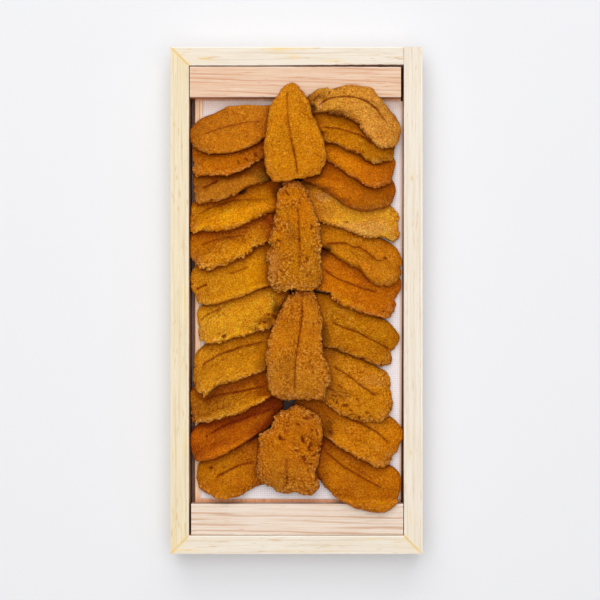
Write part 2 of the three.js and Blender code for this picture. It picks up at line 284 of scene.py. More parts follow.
def wood(name, along, colours, line_pitch, line_share, slope, start, fleck_share=0.5):
    """Planed softwood. Growth lines run along the X or the Y axis, line_pitch apart, and climb by
    slope. The colours are those between the lines, of the lines, and of the heartwood streaks and the
    glued joints. Reads from its mesh where the piece is stained, where painted shade browns it and
    where a painted highlight pales its edges."""
    made = Nodes(name)
    pale, line, stain = [linear(colour) for colour in colours]
    cross = "Y" if along == "X" else "X"

    def drawn_out(fineness, stretch=GRAIN_STRETCH, **settings):
        """Noise that is stretched along the strip."""
        scale = np.full(3, fineness)
        scale["XY".index(along)] *= stretch
        return made.noise(scale, **settings)

    position = made.split(made.place())
    height = made.math("ADD", position[cross], made.math("MULTIPLY", position[along], slope))
    wander = made.math("MULTIPLY", drawn_out(0.5, detail=3.0), LINE_WANDER)
    lean = made.math("MULTIPLY", position["Z"], LINE_TILT)
    for part in (wander, lean, start):
        height = made.math("ADD", height, part)
    ring = made.math("PINGPONG", height, line_pitch / 2)
    ring = made.spread(ring, 0.0, line_pitch * LINE_WIDTH, 1.0, 0.0)
    presence = made.spread(drawn_out(0.6), 0.38, 0.6)
    lines = made.math("MULTIPLY", made.math("MULTIPLY", ring, presence), line_share)
    fibres = drawn_out(1.7, detail=3.0, roughness=0.6)
    flecks = made.spread(drawn_out(1.5, FLECK_STRETCH, detail=1.0), 0.64, 0.74)
    heartwood = made.math("MULTIPLY", made.spread(drawn_out(1.1), 0.62, 0.75),
                          made.spread(made.noise((0.02, 0.02, 0.3), detail=1.0), 0.45, 0.6))
    colour = made.mix(made.spread(fibres, 0.3, 0.7, 0.0, 0.6), pale, line)
    colour = made.mix(lines, colour, line * LINE_TINT)
    colour = made.mix(made.math("MULTIPLY", flecks, fleck_share), colour, line * FLECK_TINT)
    colour = made.mix(made.math("MULTIPLY", heartwood, 0.75), colour, stain)
    colour = made.mix(made.math("MINIMUM", made.attribute("stained"), 1.0), colour, stain)
    # A painted highlight pales the rounded upper edges.
    colour = made.mix(made.attribute("edge_highlight"), colour, HIGHLIGHT_WOOD)
    # Painted shade browns the inner faces, the square ends, the butt joint and the slots.
    colour = made.mix(made.attribute("painted_shade"), colour, PAINTED_SHADE_WOOD)
    made.surface(colour, made.spread(fibres, 0.2, 0.8, 0.58, 0.74), 0.3)
    made.bump(made.math("ADD", fibres, made.math("MULTIPLY", ring, -0.3)), 0.35, 0.12)
    return made.material


DOT_PITCH = 1.05  # the spacing of the dots pressed into the paper


def absorbent_paper():
    """White paper pressed with a diamond lattice of small dots."""
    made = Nodes("absorbent_paper")
    parts = made.split(made.place(2 * math.pi / DOT_PITCH, math.pi / 4))
    waves = made.math("MULTIPLY", made.math("SINE", parts["X"]), made.math("SINE", parts["Y"]))
    fibre = made.noise(0.9, detail=4.0)
    dots = made.spread(waves, -0.2, 0.8)
    colour = made.mix(dots, linear("#f1ecee"), linear("#d9d2d7"))
    colour = made.mix(made.spread(fibre, 0.3, 0.75, 0.0, 0.35), colour, linear("#f6f2f1"))
    # Browner along the back batten, and painted shade along the right edge, where it dips into the slot.
    colour = made.mix(made.attribute("shaded_and_browned"), colour, linear("#dcb898"))
    # Painted shade: nearly black in the gaps between the lobes.
    colour = made.mix(made.attribute("gap_shade"), colour, linear("#2c1406"))
    made.surface(colour, 0.9, 0.2)
    made.bump(made.math("SUBTRACT", fibre, dots), 0.6, 0.12)
    return made.material


def roe_flesh():
    """Soft moist roe. The tint comes from the mesh, and soft mottling and tiny grains lie over it."""
    made = Nodes("roe_flesh")
    white = linear("#ffffff")
    fine = made.noise(1.9, roughness=0.6)
    broad = made.noise(0.45)
    grains = made.add("ShaderNodeTexVoronoi", feature="F1")
    grains.inputs["Scale"].default_value = 1
    made.link(made.place(1.7), grains.inputs["Vector"])
    bead = made.spread(grains.outputs["Distance"], 0.1, 0.8, 1.0, 0.0)
    mottle = made.mix(made.spread(fine, 0.36, 0.64), linear("#d3c6b6"), white)
    veil = made.mix(made.spread(broad, 0.35, 0.65), linear("#f6eee1"), white)
    colour = made.mix(1.0, made.attribute("tint", "Color"), mottle, "MULTIPLY")
    colour = made.mix(1.0, colour, veil, "MULTIPLY")
    made.surface(colour, made.spread(fine, 0.3, 0.7, 0.48, 0.34), 0.06)
    made.shader.inputs["Subsurface Weight"].default_value = 0.15
    made.shader.inputs["Subsurface Radius"].default_value = (1.0, 0.45, 0.12)
    made.shader.inputs["Subsurface Scale"].default_value = 0.8 * MM
    made.bump(made.math("ADD", bead, fine), 1.0, 0.26)
    return made.material


# ---- Wooden pieces ----

CORNER = 0.35       # how far the long edges are rounded
STATION = 1.0       # the spacing of the sections along a strip
END_STATIONS = (0.15, 0.4, 0.75, 1.2)  # how far from the ends further sections stand, for the glue
SIDE_POINTS = 8     # lengthwise rows of points on each side of a strip
JOINT_CLOSE = 0.17  # how far a mitred end reaches past its CAD node, towards its neighbour
SAW_MARKS = 0.035   # how deep the marks of the saw are
GLUE_LINE = 0.9     # how wide the yellow line of glue is at a mitre
GLUE_HALO = 9       # how far along the strip its faint halo fades
HALO_SHARE = 0.15   # how strong the halo is beside the line
ON_SIDE = 0.01      # points this close to a side count as on it


def rounded_section(width, height):
    """Points round a strip's section, from its lower corner: each corner, then the side after it."""
    middles = [(CORNER, CORNER), (width - CORNER, CORNER),
               (width - CORNER, height - CORNER), (CORNER, height - CORNER)]

    def on_corner(index, degrees):
        angle = math.radians(degrees)
        return np.array(middles[index % 4]) + CORNER * np.array([math.cos(angle), math.sin(angle)])

    points = []
    for index in range(4):
        start = (180 + 90 * index) % 360
        points += [on_corner(index, start + 30 * step) for step in range(4)]
        first, last = points[-1], on_corner(index + 1, start + 90)
        for step in range(SIDE_POINTS - 1):
            share = min(max(step / (SIDE_POINTS - 2), 0.02), 0.98)
            points.append(first + share * (last - first))
    return np.array(points)


def strip_piece(name, node, slot, along, mitres, material, seed, shade_levels=(0, 0), trim=None, edge_highlight=0.25):
    """A sawn strip that stands for a CAD node. Along is the axis it runs on, mitres says which of its
    two ends are cut at 45 degrees, and trim(points) may reshape it in the end. Shade_levels is how
    brown the painted shade makes the outer side and the ends, and then the inner side at its foot.
    Edge_highlight is how pale the painted highlight makes its upper edges."""
    low, high = box_mm(node)
    run, cross = (0, 1) if along == "X" else (1, 0)
    length, width, height = high[run] - low[run], high[cross] - low[cross], high[2] - low[2]
    section = rounded_section(width, height)
    depth = section[:, 0] if abs(low[cross]) > abs(high[cross]) else width - section[:, 0]
    start = low[run] + (depth - JOINT_CLOSE if mitres[0] else 0)
    end = high[run] - (depth - JOINT_CLOSE if mitres[1] else 0)
    near = np.array(END_STATIONS) / length
    even = np.linspace(0, 1, int(length / STATION) + 1)
    shares = np.unique(np.concatenate([even, near, 1 - near]))
    rings, around = len(shares), len(section)
    grid = np.zeros((rings, around, 3))
    grid[:, :, run] = start + shares[:, None] * (end - start)
    grid[:, :, cross] = low[cross] + section[:, 0]
    grid[:, :, 2] = low[2] + section[:, 1]
    points = grid.reshape(-1, 3)
    sawn = points.copy()
    sawn[:, run] *= 0.12
    marks = np.abs(smooth_noise(sawn, 0.8, seed) + smooth_noise(points, 1.3, seed + 1))
    inward = -np.sign(points - (low + high) / 2)
    inward[:, run] = 0
    points += inward * (SAW_MARKS * marks)[:, None]
    if trim:
        trim(points)
    faces = []
    for ring in range(rings - 1):
        for spot in range(around):
            a, b = ring * around + spot, ring * around + (spot + 1) % around
            faces.append((a, b, b + around, a + around))
    faces.append(tuple(range(around))[::-1])
    faces.append(tuple(range(around * (rings - 1), around * rings)))
    if along == "Y":
        faces = [face[::-1] for face in faces]
    piece = new_object(name, points, faces, material, smooth=False)

    glue = np.zeros(rings)
    for mitred, far in zip(mitres, (shares * length, (1 - shares) * length)):
        if mitred:
            halo = HALO_SHARE * np.exp(-far / GLUE_HALO)
            glue = np.maximum.reduce([glue, np.exp(-(far / GLUE_LINE) ** 2), halo])
    uneven = 0.75 + 0.35 * smooth_noise(points, 2.5, seed + 2)
    add_values(piece, "stained", np.clip(np.repeat(glue, around) * uneven, 0, 1))
    # Painted shade: on the outer side and the square ends, and on the inner side, most at its foot.
    below = section[:, 1] < height - CORNER
    at_foot = np.clip(1.3 - 1.1 * section[:, 1] / height, 0, 1)
    inner = np.where(width - depth < ON_SIDE, shade_levels[1] * at_foot, 0)
    painted_shade = np.tile(below * np.where(depth < ON_SIDE, shade_levels[0], inner), (rings, 1))
    for ring, mitred in zip((0, -1), mitres):
        if not mitred:
            painted_shade[ring, below] = shade_levels[0]
    add_values(piece, "painted_shade", painted_shade.ravel())
    # Painted highlight on the rounded upper edges.
    at_edge = np.minimum(section[:, 0], width - section[:, 0]) < CORNER
    add_values(piece, "edge_highlight", np.tile(np.where(at_edge & ~below, edge_highlight, 0.0), rings))
    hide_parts(node)
    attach(piece, "root")
    return piece


def add_spots(piece, name, spots):
    """Adds soft spots (x, y, reach along X, reach along Y, strength) to a layer of the mesh, on its
    upper side alone."""
    points = np.empty(len(piece.data.vertices) * 3, np.float32)
    piece.data.vertices.foreach_get("co", points)
    points = points.reshape(-1, 3) / MM
    layer = piece.data.attributes[name]
    values = np.empty(len(points), np.float32)
    layer.data.foreach_get("value", values)
    upper = points[:, 2] > points[:, 2].max() - 0.5
    for x, y, reach_x, reach_y, strength in spots:
        far = ((points[:, 0] - x) / reach_x) ** 2 + ((points[:, 1] - y) / reach_y) ** 2
        values = np.maximum(values, strength * np.exp(-far) * upper)
    layer.data.foreach_set("value", values)


def ragged_line(points, seed):
    """How far a saw-torn edge that runs along X strays, in millimetres."""
    line = points * [1, 0.05, 0.3]
    teeth, waves = smooth_noise(line, 1.1, seed), smooth_noise(line, 3.7, seed + 1)
    return 0.16 * np.abs(teeth) + 0.10 * np.abs(waves)


GAP_START_X, GAP_FULL_X = -22, 40   # between these the gap behind the back batten opens
BATTEN_REACH = 0.18                 # how far the front batten reaches past its node, to touch the frame
BOARD_SHORT = 0.35                  # how far the raised board stops short of its node on the left
WALL_REACH = 0.2                    # how far the back strip reaches past its node, to touch the side


def opening(points):
    """The gap behind the back batten opens towards the right: 0 on the left, 1 on the right."""
    return smoothstep(GAP_START_X, GAP_FULL_X, points[:, 0])


def batten_rear(points):
    """The back batten's rear edge is torn, the more so where the gap opens."""
    rear = points[:, 1] > points[:, 1].mean()
    share = opening(points)
    points[:, 1] -= np.where(rear, 0.08 * share + ragged_line(points, 71) * (0.3 + 0.7 * share), 0)


def batten_front(points):
    """The front batten touches the frame."""
    points[:, 1] -= np.where(points[:, 1] < points[:, 1].mean(), BATTEN_REACH, 0)


def board_side(points):
    """The raised board stops a little short on the left."""
    points[:, 0] += np.where(points[:, 0] < points[:, 0].mean(), BOARD_SHORT, 0)


def wall_rear(points):
    """The back strip's inner edge is torn where the gap opens, and its right end meets the side."""
    inner = smoothstep(97, 93.1, points[:, 1])
    share = opening(points)
    points[:, 1] += inner * share * (0.28 + 1.4 * ragged_line(points, 73))
    points[:, 0] += np.where(points[:, 0] > points[:, 0].max() - ON_SIDE, WALL_REACH, 0)


# The colours of each wood: between its growth lines, of the lines, and of its streaks and glue.
CREAM = ("#e9e0d2", "#dccdb4", "#ebca7c")
YELLOW = ("#e9dcc0", "#dcc9a2", "#eccb78")
PINK = ("#e4c9b0", "#d6a07a", "#d8b48c")
BLOND = ("#e7d8ca", "#d9bb9f", "#dbc29e")
BROWN = ("#f8dcbc", "#d6a472", "#d0a070")
# Each material: its axis, its colours, the pitch, strength, slope and start of its growth lines, and,
# where that differs, how dark its flecks are.
WOODS = {
    "frame_wood_back": ("X", CREAM, 2.6, 0.4, -0.01, 0.4, 0.8),
    "frame_wood_front": ("X", CREAM, 2.2, 0.4, -0.01, 1.1),
    "frame_wood_right": ("Y", CREAM, 2.4, 0.3, 0.005, 0.9),
    "frame_wood_left": ("Y", YELLOW, 2.0, 0.4, 0.006, 0.2),
    "batten_wood_back": ("X", PINK, 1.7, 0.72, 0.045, 0.3),
    "batten_wood_front": ("X", BLOND, 2.1, 0.9, 0.02, 1.6),
    "board_wood": ("Y", BROWN, 1.8, 0.8, 0.01, 0.7),
}
SQUARE = (False, False)
# Painted shade on the inner side of the frame strips, strongest at their foot.
INNER_SHADE = (0, 0.9)
# Each strip: its CAD node, slot and material, its mitred ends, its seed, and what sets it apart.
STRIPS = {
    "frame_back": ("wall_back", "frame_wood", "frame_wood_back", (True, False), 21,
                   dict(shade_levels=INNER_SHADE, trim=wall_rear, edge_highlight=0.7)),
    "frame_front": ("wall_front", "frame_wood", "frame_wood_front", (True, True), 22,
                    dict(shade_levels=INNER_SHADE, edge_highlight=0.5)),
    "frame_left": ("wall_left", "frame_wood", "frame_wood_left", (True, True), 23,
                   dict(shade_levels=INNER_SHADE, edge_highlight=0.4)),
    "frame_right": ("wall_right", "frame_wood", "frame_wood_right", (True, False), 24,
                    dict(shade_levels=INNER_SHADE, edge_highlight=0.7)),
    "back_batten": ("batten_back", "batten_wood", "batten_wood_back", SQUARE, 31,
                    dict(shade_levels=(0.85, 1.0), trim=batten_rear)),
    "front_batten": ("batten_front", "batten_wood", "batten_wood_front", SQUARE, 32,
                     dict(shade_levels=(0.85, 0.2), trim=batten_front)),
    "raised_board": ("inner_board", "board_wood", "board_wood", SQUARE, 41,
                     dict(shade_levels=(0.9, 0.9), trim=board_side)),
    "left_foot": ("foot_left", "board_wood", "board_wood", SQUARE, 42, {}),
    "right_foot": ("foot_right", "board_wood", "board_wood", SQUARE, 43, {}),
    "bottom_board": ("base_board", "board_wood", "board_wood", SQUARE, 44, {}),
}
# Soft spots on single strips: painted shade in the butt joint of the back strip, its yellow streaks,
# and painted shade at the two ends of the raised board and in the slots on both sides of it, where the bottom
# board shows.
SPOTS = [
    ("frame_back", "painted_shade", [(42.7, 98.4, 0.4, 1.4, 0.9)]),
    ("frame_back", "stained", [(-6, 100.2, 7, 0.7, 0.9), (2, 100.2, 2.5, 0.6, 0.8),
                               (-7, 98.8, 4, 0.6, 0.5), (-1, 96.4, 2.6, 0.6, 0.8),
                               (-36, 95.6, 3, 0.5, 0.6), (14, 94.6, 4, 0.5, 0.5)]),
    ("raised_board", "painted_shade", [(0, -81, 200, 2.4, 0.7), (-0.2, -80.2, 1.6, 1.2, 0.9),
                                (0, 81, 200, 1.2, 0.6)]),
    ("bottom_board", "painted_shade", [(-43, 0, 3, 400, 0.95), (43, 0, 3, 400, 0.95)]),
]


def build_wood():
    """The frame, the end battens, the raised board, its feet and the bottom board."""
    materials = {name: wood(name, *look) for name, look in WOODS.items()}
    pieces = {}
    for name, (node, slot, material, mitres, seed, extras) in STRIPS.items():
        along = WOODS[material][0]
        pieces[name] = strip_piece(name, node, slot, along, mitres, materials[material], seed, **extras)
    for name, layer, spots in SPOTS:
        add_spots(pieces[name], layer, spots)


# ---- Paper ----

PAPER_COLUMNS, PAPER_ROWS = 80, 320
TOOTH_DEPTH = 0.26      # how deep the teeth of the paper's long edges are
TOOTH_HALF = 0.55       # half their spacing
RIGHT_OVERHANG = 0.5    # how far the paper reaches past its node towards the right strip
GAP_SHADE_SPOTS = [(-11.6, -50.4), (-15, -53), (10.6, 3.2)]  # further spots of painted shade, where it shows in gaps between lobes


def build_paper(field):
    """The liner as a thin slab with a softly uneven surface and fine teeth along its two long edges. It
    gets dark painted shade between the lobes and brown painted shade along its right edge, and it is
    browner along the back batten."""
    low, high = box_mm("paper")
    corners = np.array([vertex.co[:2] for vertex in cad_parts["paper"].data.vertices]) / MM
    total, difference = corners[:, 0] + corners[:, 1], corners[:, 0] - corners[:, 1]
    right_top, right_low = corners[np.argmax(total)], corners[np.argmax(difference)]
    half_x = (right_top - corners[np.argmin(difference)]) / 2
    half_y = (right_top - right_low) / 2
    share_x, share_y = np.meshgrid(np.linspace(-1, 1, PAPER_COLUMNS + 1), np.linspace(-1, 1, PAPER_ROWS + 1))
    plan = (low + high)[:2] / 2 + share_x[..., None] * half_x + share_y[..., None] * half_y
    top = np.column_stack([plan.reshape(-1, 2), np.zeros(share_x.size)])
    at_edge = (np.abs(share_x) > 0.999).ravel()
    tooth = TOOTH_DEPTH * np.abs(((top[:, 1] / TOOTH_HALF) % 2) - 1)
    reach = RIGHT_OVERHANG * (top[:, 0] > 0) - np.sign(top[:, 0]) * tooth
    top[:, 0] = np.minimum(top[:, 0] + np.where(at_edge, reach, 0), INNER_X - 0.05)
    bottom = top + [0, 0, low[2] + 0.02]
    wave = 0.02 * smooth_noise(top, 14, 5) + 0.012 * smooth_noise(top, 1.0, 6)
    top[:, 2] = high[2] + wave
    count = len(top)
    faces = []
    for face in grid_quads(PAPER_COLUMNS, PAPER_ROWS):
        faces += [face, tuple(count + corner for corner in (face[0], *face[:0:-1]))]
    rim = grid_rim(PAPER_COLUMNS, PAPER_ROWS)
    faces += [(a, count + a, count + b, b) for a, b in zip(rim, [*rim[1:], rim[0]])]
    piece = new_object("paper_liner", np.concatenate([top, bottom]), faces, absorbent_paper())
    between = smoothstep(14, 10, np.abs(top[:, 0])) * smoothstep(72, 66, np.abs(top[:, 1]))
    # Painted shade where the lobes around hide the sky, and in a few more spots.
    gap_shade = smoothstep(0.6, 0.85, crevice(field, top) + 0.06 * smooth_noise(top, 2.0, 7))
    gap_shade = 0.95 * gap_shade * between
    for x, y in GAP_SHADE_SPOTS:
        gap_shade = np.maximum(gap_shade, 0.9 * smoothstep(5, 3, np.hypot(top[:, 0] - x, top[:, 1] - y)))
    add_values(piece, "gap_shade", np.tile(gap_shade, 2))
    # Browner along the back batten, and painted shade along the right edge.
    shaded_and_browned = 0.5 * smoothstep(high[1] - 9, high[1] - 1, top[:, 1])
    shaded_and_browned = np.maximum(shaded_and_browned, 0.9 * smoothstep(0.972, 0.998, share_x.ravel()))
    add_values(piece, "shaded_and_browned", np.tile(shaded_and_browned, 2))
    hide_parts("paper")
    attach(piece, "root")


# ---- Roe lobes ----

# Each lobe has the plan of its CAD node: its outer and inner end, the bow of its middle line, its full
# width, its taper, the roundness of its two ends and its thickness. The rest says how it looks.
#   tones: two colours, and the side where the second is: outer, inner, upper or lower
#   grain: how coarse it is    crumb: how broken its lower edge is    wrinkle: how deep its folds are
#   lip: how far its lower edge stands off    melt: how much thinner it gets there
#   shaded: how dark the painted shade in the hollows beside its neighbours gets
#   edge: points that its outline passes through where it strays from the plan
#   vein, soft_vein: the course of its dark line and of its paler one    cracks: short splits, dark with painted shade
#   pits: small holes, dark with painted shade, as (x, y, radius)
#   patches: spots of another colour as (x, y, reach along X, reach along Y, strength, colour), some painted
#       shade as marked
#   rough: places with loose grains as (x, y, reach, number of grains)
# Most places were picked by eye on the photo and scaled to millimetres by a helper script, and the tones
# began as colours measured there. Both were then adjusted against renders.
LOBES = {
    "left_1": dict(
        plan=(-42, 64.4, -3, 71.7, -0.4, 18.2, 0.03, 2.2, 3.4, 5.2), tones=("#be7426", "#bf7636", "upper"),
        grain=0.7, crumb=0.35, lip=0.4, melt=0.2,
        edge=[(-38.5, 72.5), (-32.5, 74.5), (-27.5, 77), (-21.5, 77.5), (-13, 77), (-13, 64), (-21, 59.5),
              (-26.5, 58), (-38, 59), (-41.3, 62)],
        soft_vein=[(-38, 65), (-33.5, 67), (-27.5, 69), (-22, 70), (-19, 70.5), (-12, 70.7)]),
    "left_2": dict(
        plan=(-41.1, 56.4, -3, 66, -0.8, 17.8, 0.05, 4, 3.4, 5), tones=("#c27204", "#a85c05", "inner"),
        grain=0.9, crumb=0.7, lip=0.9, wrinkle=0.3,
        edge=[(-40.5, 49), (-35.5, 49.7), (-25.5, 50), (-21.5, 51.5), (-18, 53.3), (-13, 56.5)],
        cracks=[[(-20.6, 56.8), (-18.8, 54.8)], [(-23.4, 55.6), (-22.6, 53.6)],
                [(-16.8, 58.4), (-15.6, 57)]]),
    "left_3": dict(
        plan=(-40.7, 45.7, -1.5, 55.6, 0, 17.4, 0.05, 3, 4.4, 5.2), tones=("#b47034", "#a86a1c", "inner"),
        grain=0.5, crumb=0.5, lip=0.7, shaded=1.8,
        edge=[(-40.5, 41), (-39, 38), (-33, 39), (-26.8, 40.2), (-25.6, 40.7), (-24.8, 43.8), (-20.5, 44.6),
              (-14.5, 46.4), (-10, 47.5)], vein=[(-37.5, 44.5), (-31, 47.7)], pits=[(-33.4, 39.6, 0.5)],
        # Both patches are painted shade at the end by the centre lobes.
        patches=[(-9.5, 49.5, 8, 4.4, 0.85, "#6a4808"), (-7, 47.5, 4.5, 3, 0.85, "#2e1803")]),
    "left_4": dict(
        plan=(-42, 33.5, -1.5, 44.8, 0, 18.2, 0.05, 2.4, 4.4, 5.6), tones=("#d08608", "#d88e14", "outer"),
        grain=0.9, crumb=0.7, lip=1.1, shaded=2,
        edge=[(-41.7, 29.5), (-40.2, 26.3), (-37, 28), (-27.5, 27.5), (-19, 30.7), (-12.5, 34.3)],
        soft_vein=[(-40, 33.5), (-36, 36), (-30.5, 38.2), (-23.5, 40), (-12.5, 40.2)],
        # Both patches are painted shade: in the notch under left_3, and beside centre_2.
        patches=[(-22.3, 43.1, 3, 1.6, 1, "#200c02"), (-6.9, 43, 3, 4, 0.7, "#4a2c08")]),
    "left_5": dict(
        plan=(-42, 20, -1.5, 33, 0, 20.2, 0.1, 2.6, 4.4, 5.6), tones=("#c87a08", "#d08a24", "lower"),
        grain=1.3, crumb=1, lip=0.9, shaded=2.4, wrinkle=0.15,
        edge=[(-42, 17), (-40, 14.8), (-36.5, 12.5), (-31, 13), (-22.5, 16.5), (-18, 18.5), (-16.5, 21),
              (-11, 23)], soft_vein=[(-39, 21.6), (-32.5, 24), (-25.5, 25.3), (-19.5, 26)],
        pits=[(-16.8, 20.5, 0.9)]),
    "left_6": dict(
        plan=(-42, 6.5, -1.5, 16, 0, 19.8, 0.05, 2.6, 4.4, 5.6), tones=("#d6900c", "#cc8a2e", "outer"),
        grain=0.7, crumb=0.45, lip=0.8, shaded=1.8, wrinkle=0.1,
        edge=[(-40.5, 2.5), (-38, -1.5), (-34, -1.8), (-28.3, -0.2), (-19.5, 2.2), (-12.5, 5.3)],
        vein=[(-39.8, 4.2), (-38, 5.4), (-35.4, 6.5)], soft_vein=[(-27, 10.5), (-19, 13.3)]),
    "left_7": dict(
        plan=(-39.4, -9.7, -1.5, 0, -0.8, 19.4, 0, 2.6, 4.4, 5.6), tones=("#e09838", "#e09c4a", "outer"),
        grain=1.4, crumb=1, lip=0.9,
        edge=[(-38.2, -2), (-39.4, -6), (-38.5, -12), (-36, -16.8), (-30, -17), (-25, -15.2),
              (-17.5, -12.5), (-10.5, -11), (-6, -3)],
        soft_vein=[(-38.5, -8.5), (-35.5, -5.7), (-30.3, -3.8)],
        pits=[(-12.6, -8.6, 0.7), (-9.5, -6, 0.8), (-16.2, -10.8, 0.5), (-28.5, -13.8, 0.8),
              (-14.6, -9.2, 0.5), (-11.2, -5.6, 0.6), (-8, -7.6, 0.6)],
        patches=[(-7.5, -4.5, 2.8, 3.6, 0.85, "#4a1802"), (-12, -8, 3.8, 1.9, 0.85, "#7a3004"),
                 (-17, -11, 3, 1.3, 0.6, "#74380a")], rough=[(-12, -7.8, 3.8, 44), (-8, -4.6, 3, 24)]),
    "left_8": dict(
        plan=(-40, -31.5, -1.5, -15.4, 2.8, 19.4, 0.1, 2.4, 4.4, 5.6), tones=("#c8840e", "#cc8a36", "outer"),
        grain=0.9, crumb=0.9, lip=2.1,
        edge=[(-36.5, -17), (-40, -21), (-41, -26.5), (-40.2, -33.5), (-39, -36.8), (-37.6, -39.4),
              (-36.2, -36.6), (-32, -34), (-28, -33), (-22.5, -31.5), (-15, -28.7), (-11, -26.7)],
        vein=[(-38, -28), (-36.5, -25), (-34, -23.5), (-30.3, -21.3), (-26.3, -20), (-22, -18.4),
              (-16.5, -17.2), (-10.5, -16)], pits=[(-33.8, -19.4, 0.6)],
        # This patch is painted shade.
        patches=[(-13.5, -24.5, 3.5, 3, 0.5, "#7a4608")]),
    "left_9": dict(
        plan=(-42, -42.2, -1.5, -27.2, 0, 19.4, 0.05, 2.6, 4.4, 5.6), tones=("#ce860c", "#c08238", "outer"),
        grain=0.8, crumb=0.9, lip=1.8, shaded=3.5,
        edge=[(-42, -44.5), (-40, -49), (-37, -48.2), (-31.5, -47.3), (-26, -46), (-22, -44.8), (-15, -41),
              (-9.5, -38)], vein=[(-38, -40.6), (-33, -38), (-21.5, -35.8), (-11, -33.5)]),
    "left_10": dict(
        plan=(-42, -58.4, -3.8, -42.1, -0.4, 18.6, 0, 2.6, 3.4, 5.6), tones=("#bc6608", "#a05006", "inner"),
        grain=0.5, crumb=0.3, lip=0.5, shaded=3.5,
        edge=[(-42, -60), (-39, -64), (-32.5, -62.8), (-25.5, -59.5), (-19, -55.2), (-16, -53.3),
              (-10.5, -50), (-5.3, -42)],
        vein=[(-35.8, -53.7), (-29.5, -50.2), (-24.5, -48), (-8.5, -42.6)], pits=[(-35.8, -53.9, 0.5)],
        patches=[(-7, -46, 4, 4, 0.5, "#6e3004")]),
    "left_11": dict(
        plan=(-40, -70.7, -2.5, -60, -0.8, 20.6, 0.05, 2.5, 3.4, 5.6), tones=("#b26804", "#bc7410", "outer"),
        grain=1, crumb=0.5, lip=0.6,
        edge=[(-38.5, -64.7), (-39.8, -69), (-39, -74), (-35.5, -76.8), (-30.5, -78.3), (-24.7, -78.2),
              (-20.5, -76.3), (-14.5, -73.5)],
        vein=[(-32.5, -70.7), (-28.3, -68.3), (-22.7, -65.6), (-16, -64)], pits=[(-34, -66.5, 0.6)]),
    "right_1": dict(
        plan=(38.3, 61.2, 6.6, 77.4, 7.1, 15, 0.15, 2.4, 2.6, 5.4), tones=("#d4947c", "#cc9068", "inner"),
        grain=0.9, crumb=0.8, lip=0.2, melt=0.6,
        edge=[(3.2, 76.5), (3.4, 79.6), (5.7, 81.5), (9.2, 83.9), (11.6, 83.6), (14.2, 83.3), (17.2, 84.4),
              (20.5, 85.2), (26.5, 84.6), (30, 84), (31.5, 81.5), (35, 77.8), (38.5, 74.2), (41.4, 69.5),
              (41.2, 65.5), (39, 61), (31, 61.6), (28.7, 64), (26, 67), (24.8, 70), (19.6, 72.9),
              (12, 73.6), (6, 74.2), (3.8, 75)],
        vein=[(8.4, 75.4), (9.3, 77.2), (11, 78.7), (13.2, 79.7), (16.5, 80.2), (22, 80.2), (27, 78.7),
              (31, 76.2), (34.3, 72.3), (36.7, 69.5)],
        cracks=[[(13, 82.6), (12.8, 80.9)], [(6.4, 78.6), (8, 80.2)], [(9, 81.6), (8.2, 80.4)]],
        pits=[(12, 73.8, 0.6), (15, 73.4, 0.5), (18, 73, 0.5)],
        # The near-black patch at (6.2, 75.8) is painted shade in a hole.
        patches=[(5.5, 79.6, 4.2, 3.2, 0.6, "#96601e"), (10.6, 82, 2.2, 1.6, 0.5, "#d08a28"),
                 (6.2, 75.8, 2.4, 1.7, 0.95, "#1e0a02"), (9.5, 77.2, 0.8, 1.7, 0.7, "#e6b49a"),
                 (9.8, 80.2, 2.4, 0.9, 0.7, "#7a3a0a"), (13.5, 74, 6.5, 1.4, 0.75, "#6e2c06")],
        rough=[(6.8, 79.6, 4.4, 44), (11, 81.6, 2.4, 14), (13, 73.6, 3.4, 24), (24, 66.8, 2.4, 12)]),
    "right_2": dict(
        plan=(38.3, 58.4, 2, 71.4, 1.2, 16.6, 0.05, 2.6, 3.4, 4.8), tones=("#be780a", "#b67414", "outer"),
        grain=0.8, crumb=0.7, lip=0.3, melt=0.7, shaded=1.3,
        edge=[(9.5, 66.5), (11.7, 62.5), (16, 62), (19.2, 59.6), (25.6, 57.6), (27.2, 55.3), (35, 54.5),
              (38, 55)], vein=[(9.3, 68.7), (16.5, 68), (22.4, 66.3), (26, 65), (31, 61.6)],
        pits=[(22.4, 58.8, 0.6), (26.4, 58.5, 0.5)]),
    "right_3": dict(
        plan=(38.3, 50.5, 2, 66, 0, 17.8, 0.05, 3, 3.4, 5), tones=("#c87804", "#be6a04", "outer"),
        grain=0.5, crumb=0.5, lip=0.4, melt=0.6, shaded=1.1,
        edge=[(11.7, 55.3), (16, 53.3), (20.5, 49.7), (25, 47.3), (28, 45), (34.3, 44.9), (37.5, 47)]),
    "right_4": dict(
        plan=(39.4, 42.2, 1.5, 54.6, -1.2, 19, 0, 2.4, 4.4, 5.6), tones=("#be6c06", "#aa6006", "outer"),
        grain=0.45, crumb=0.5, lip=0.3, melt=0.5, shaded=1.3,
        edge=[(8.2, 45.3), (12, 42.6), (16, 40.2), (19, 37.5), (26, 35.4), (32, 35.8), (36.7, 37.5),
              (39, 42)],
        # The patch at (6, 49.5) is painted shade at the inner end.
        patches=[(11.5, 44.2, 3.6, 1.4, 0.6, "#7a3004"), (17.5, 39.8, 4, 1.2, 0.5, "#8a3c06"),
                 (6, 49.5, 4, 3, 0.5, "#4a2404")]),
    "right_5": dict(
        plan=(40.6, 29.5, 1.5, 41.2, 0, 17.8, -0.08, 3.4, 4.4, 5.6), tones=("#eea15a", "#d0893e", "inner"),
        grain=1.2, crumb=1, lip=0.4, melt=0.6, shaded=1,
        edge=[(1.6, 47.4), (4.5, 47.6), (40, 35), (40.6, 32), (40.2, 25), (38.6, 23), (34.7, 25.3),
              (28.7, 24.8), (25, 25.5), (22, 27), (17.3, 28.7), (11.3, 30.3)], pits=[(20, 31, 0.5)],
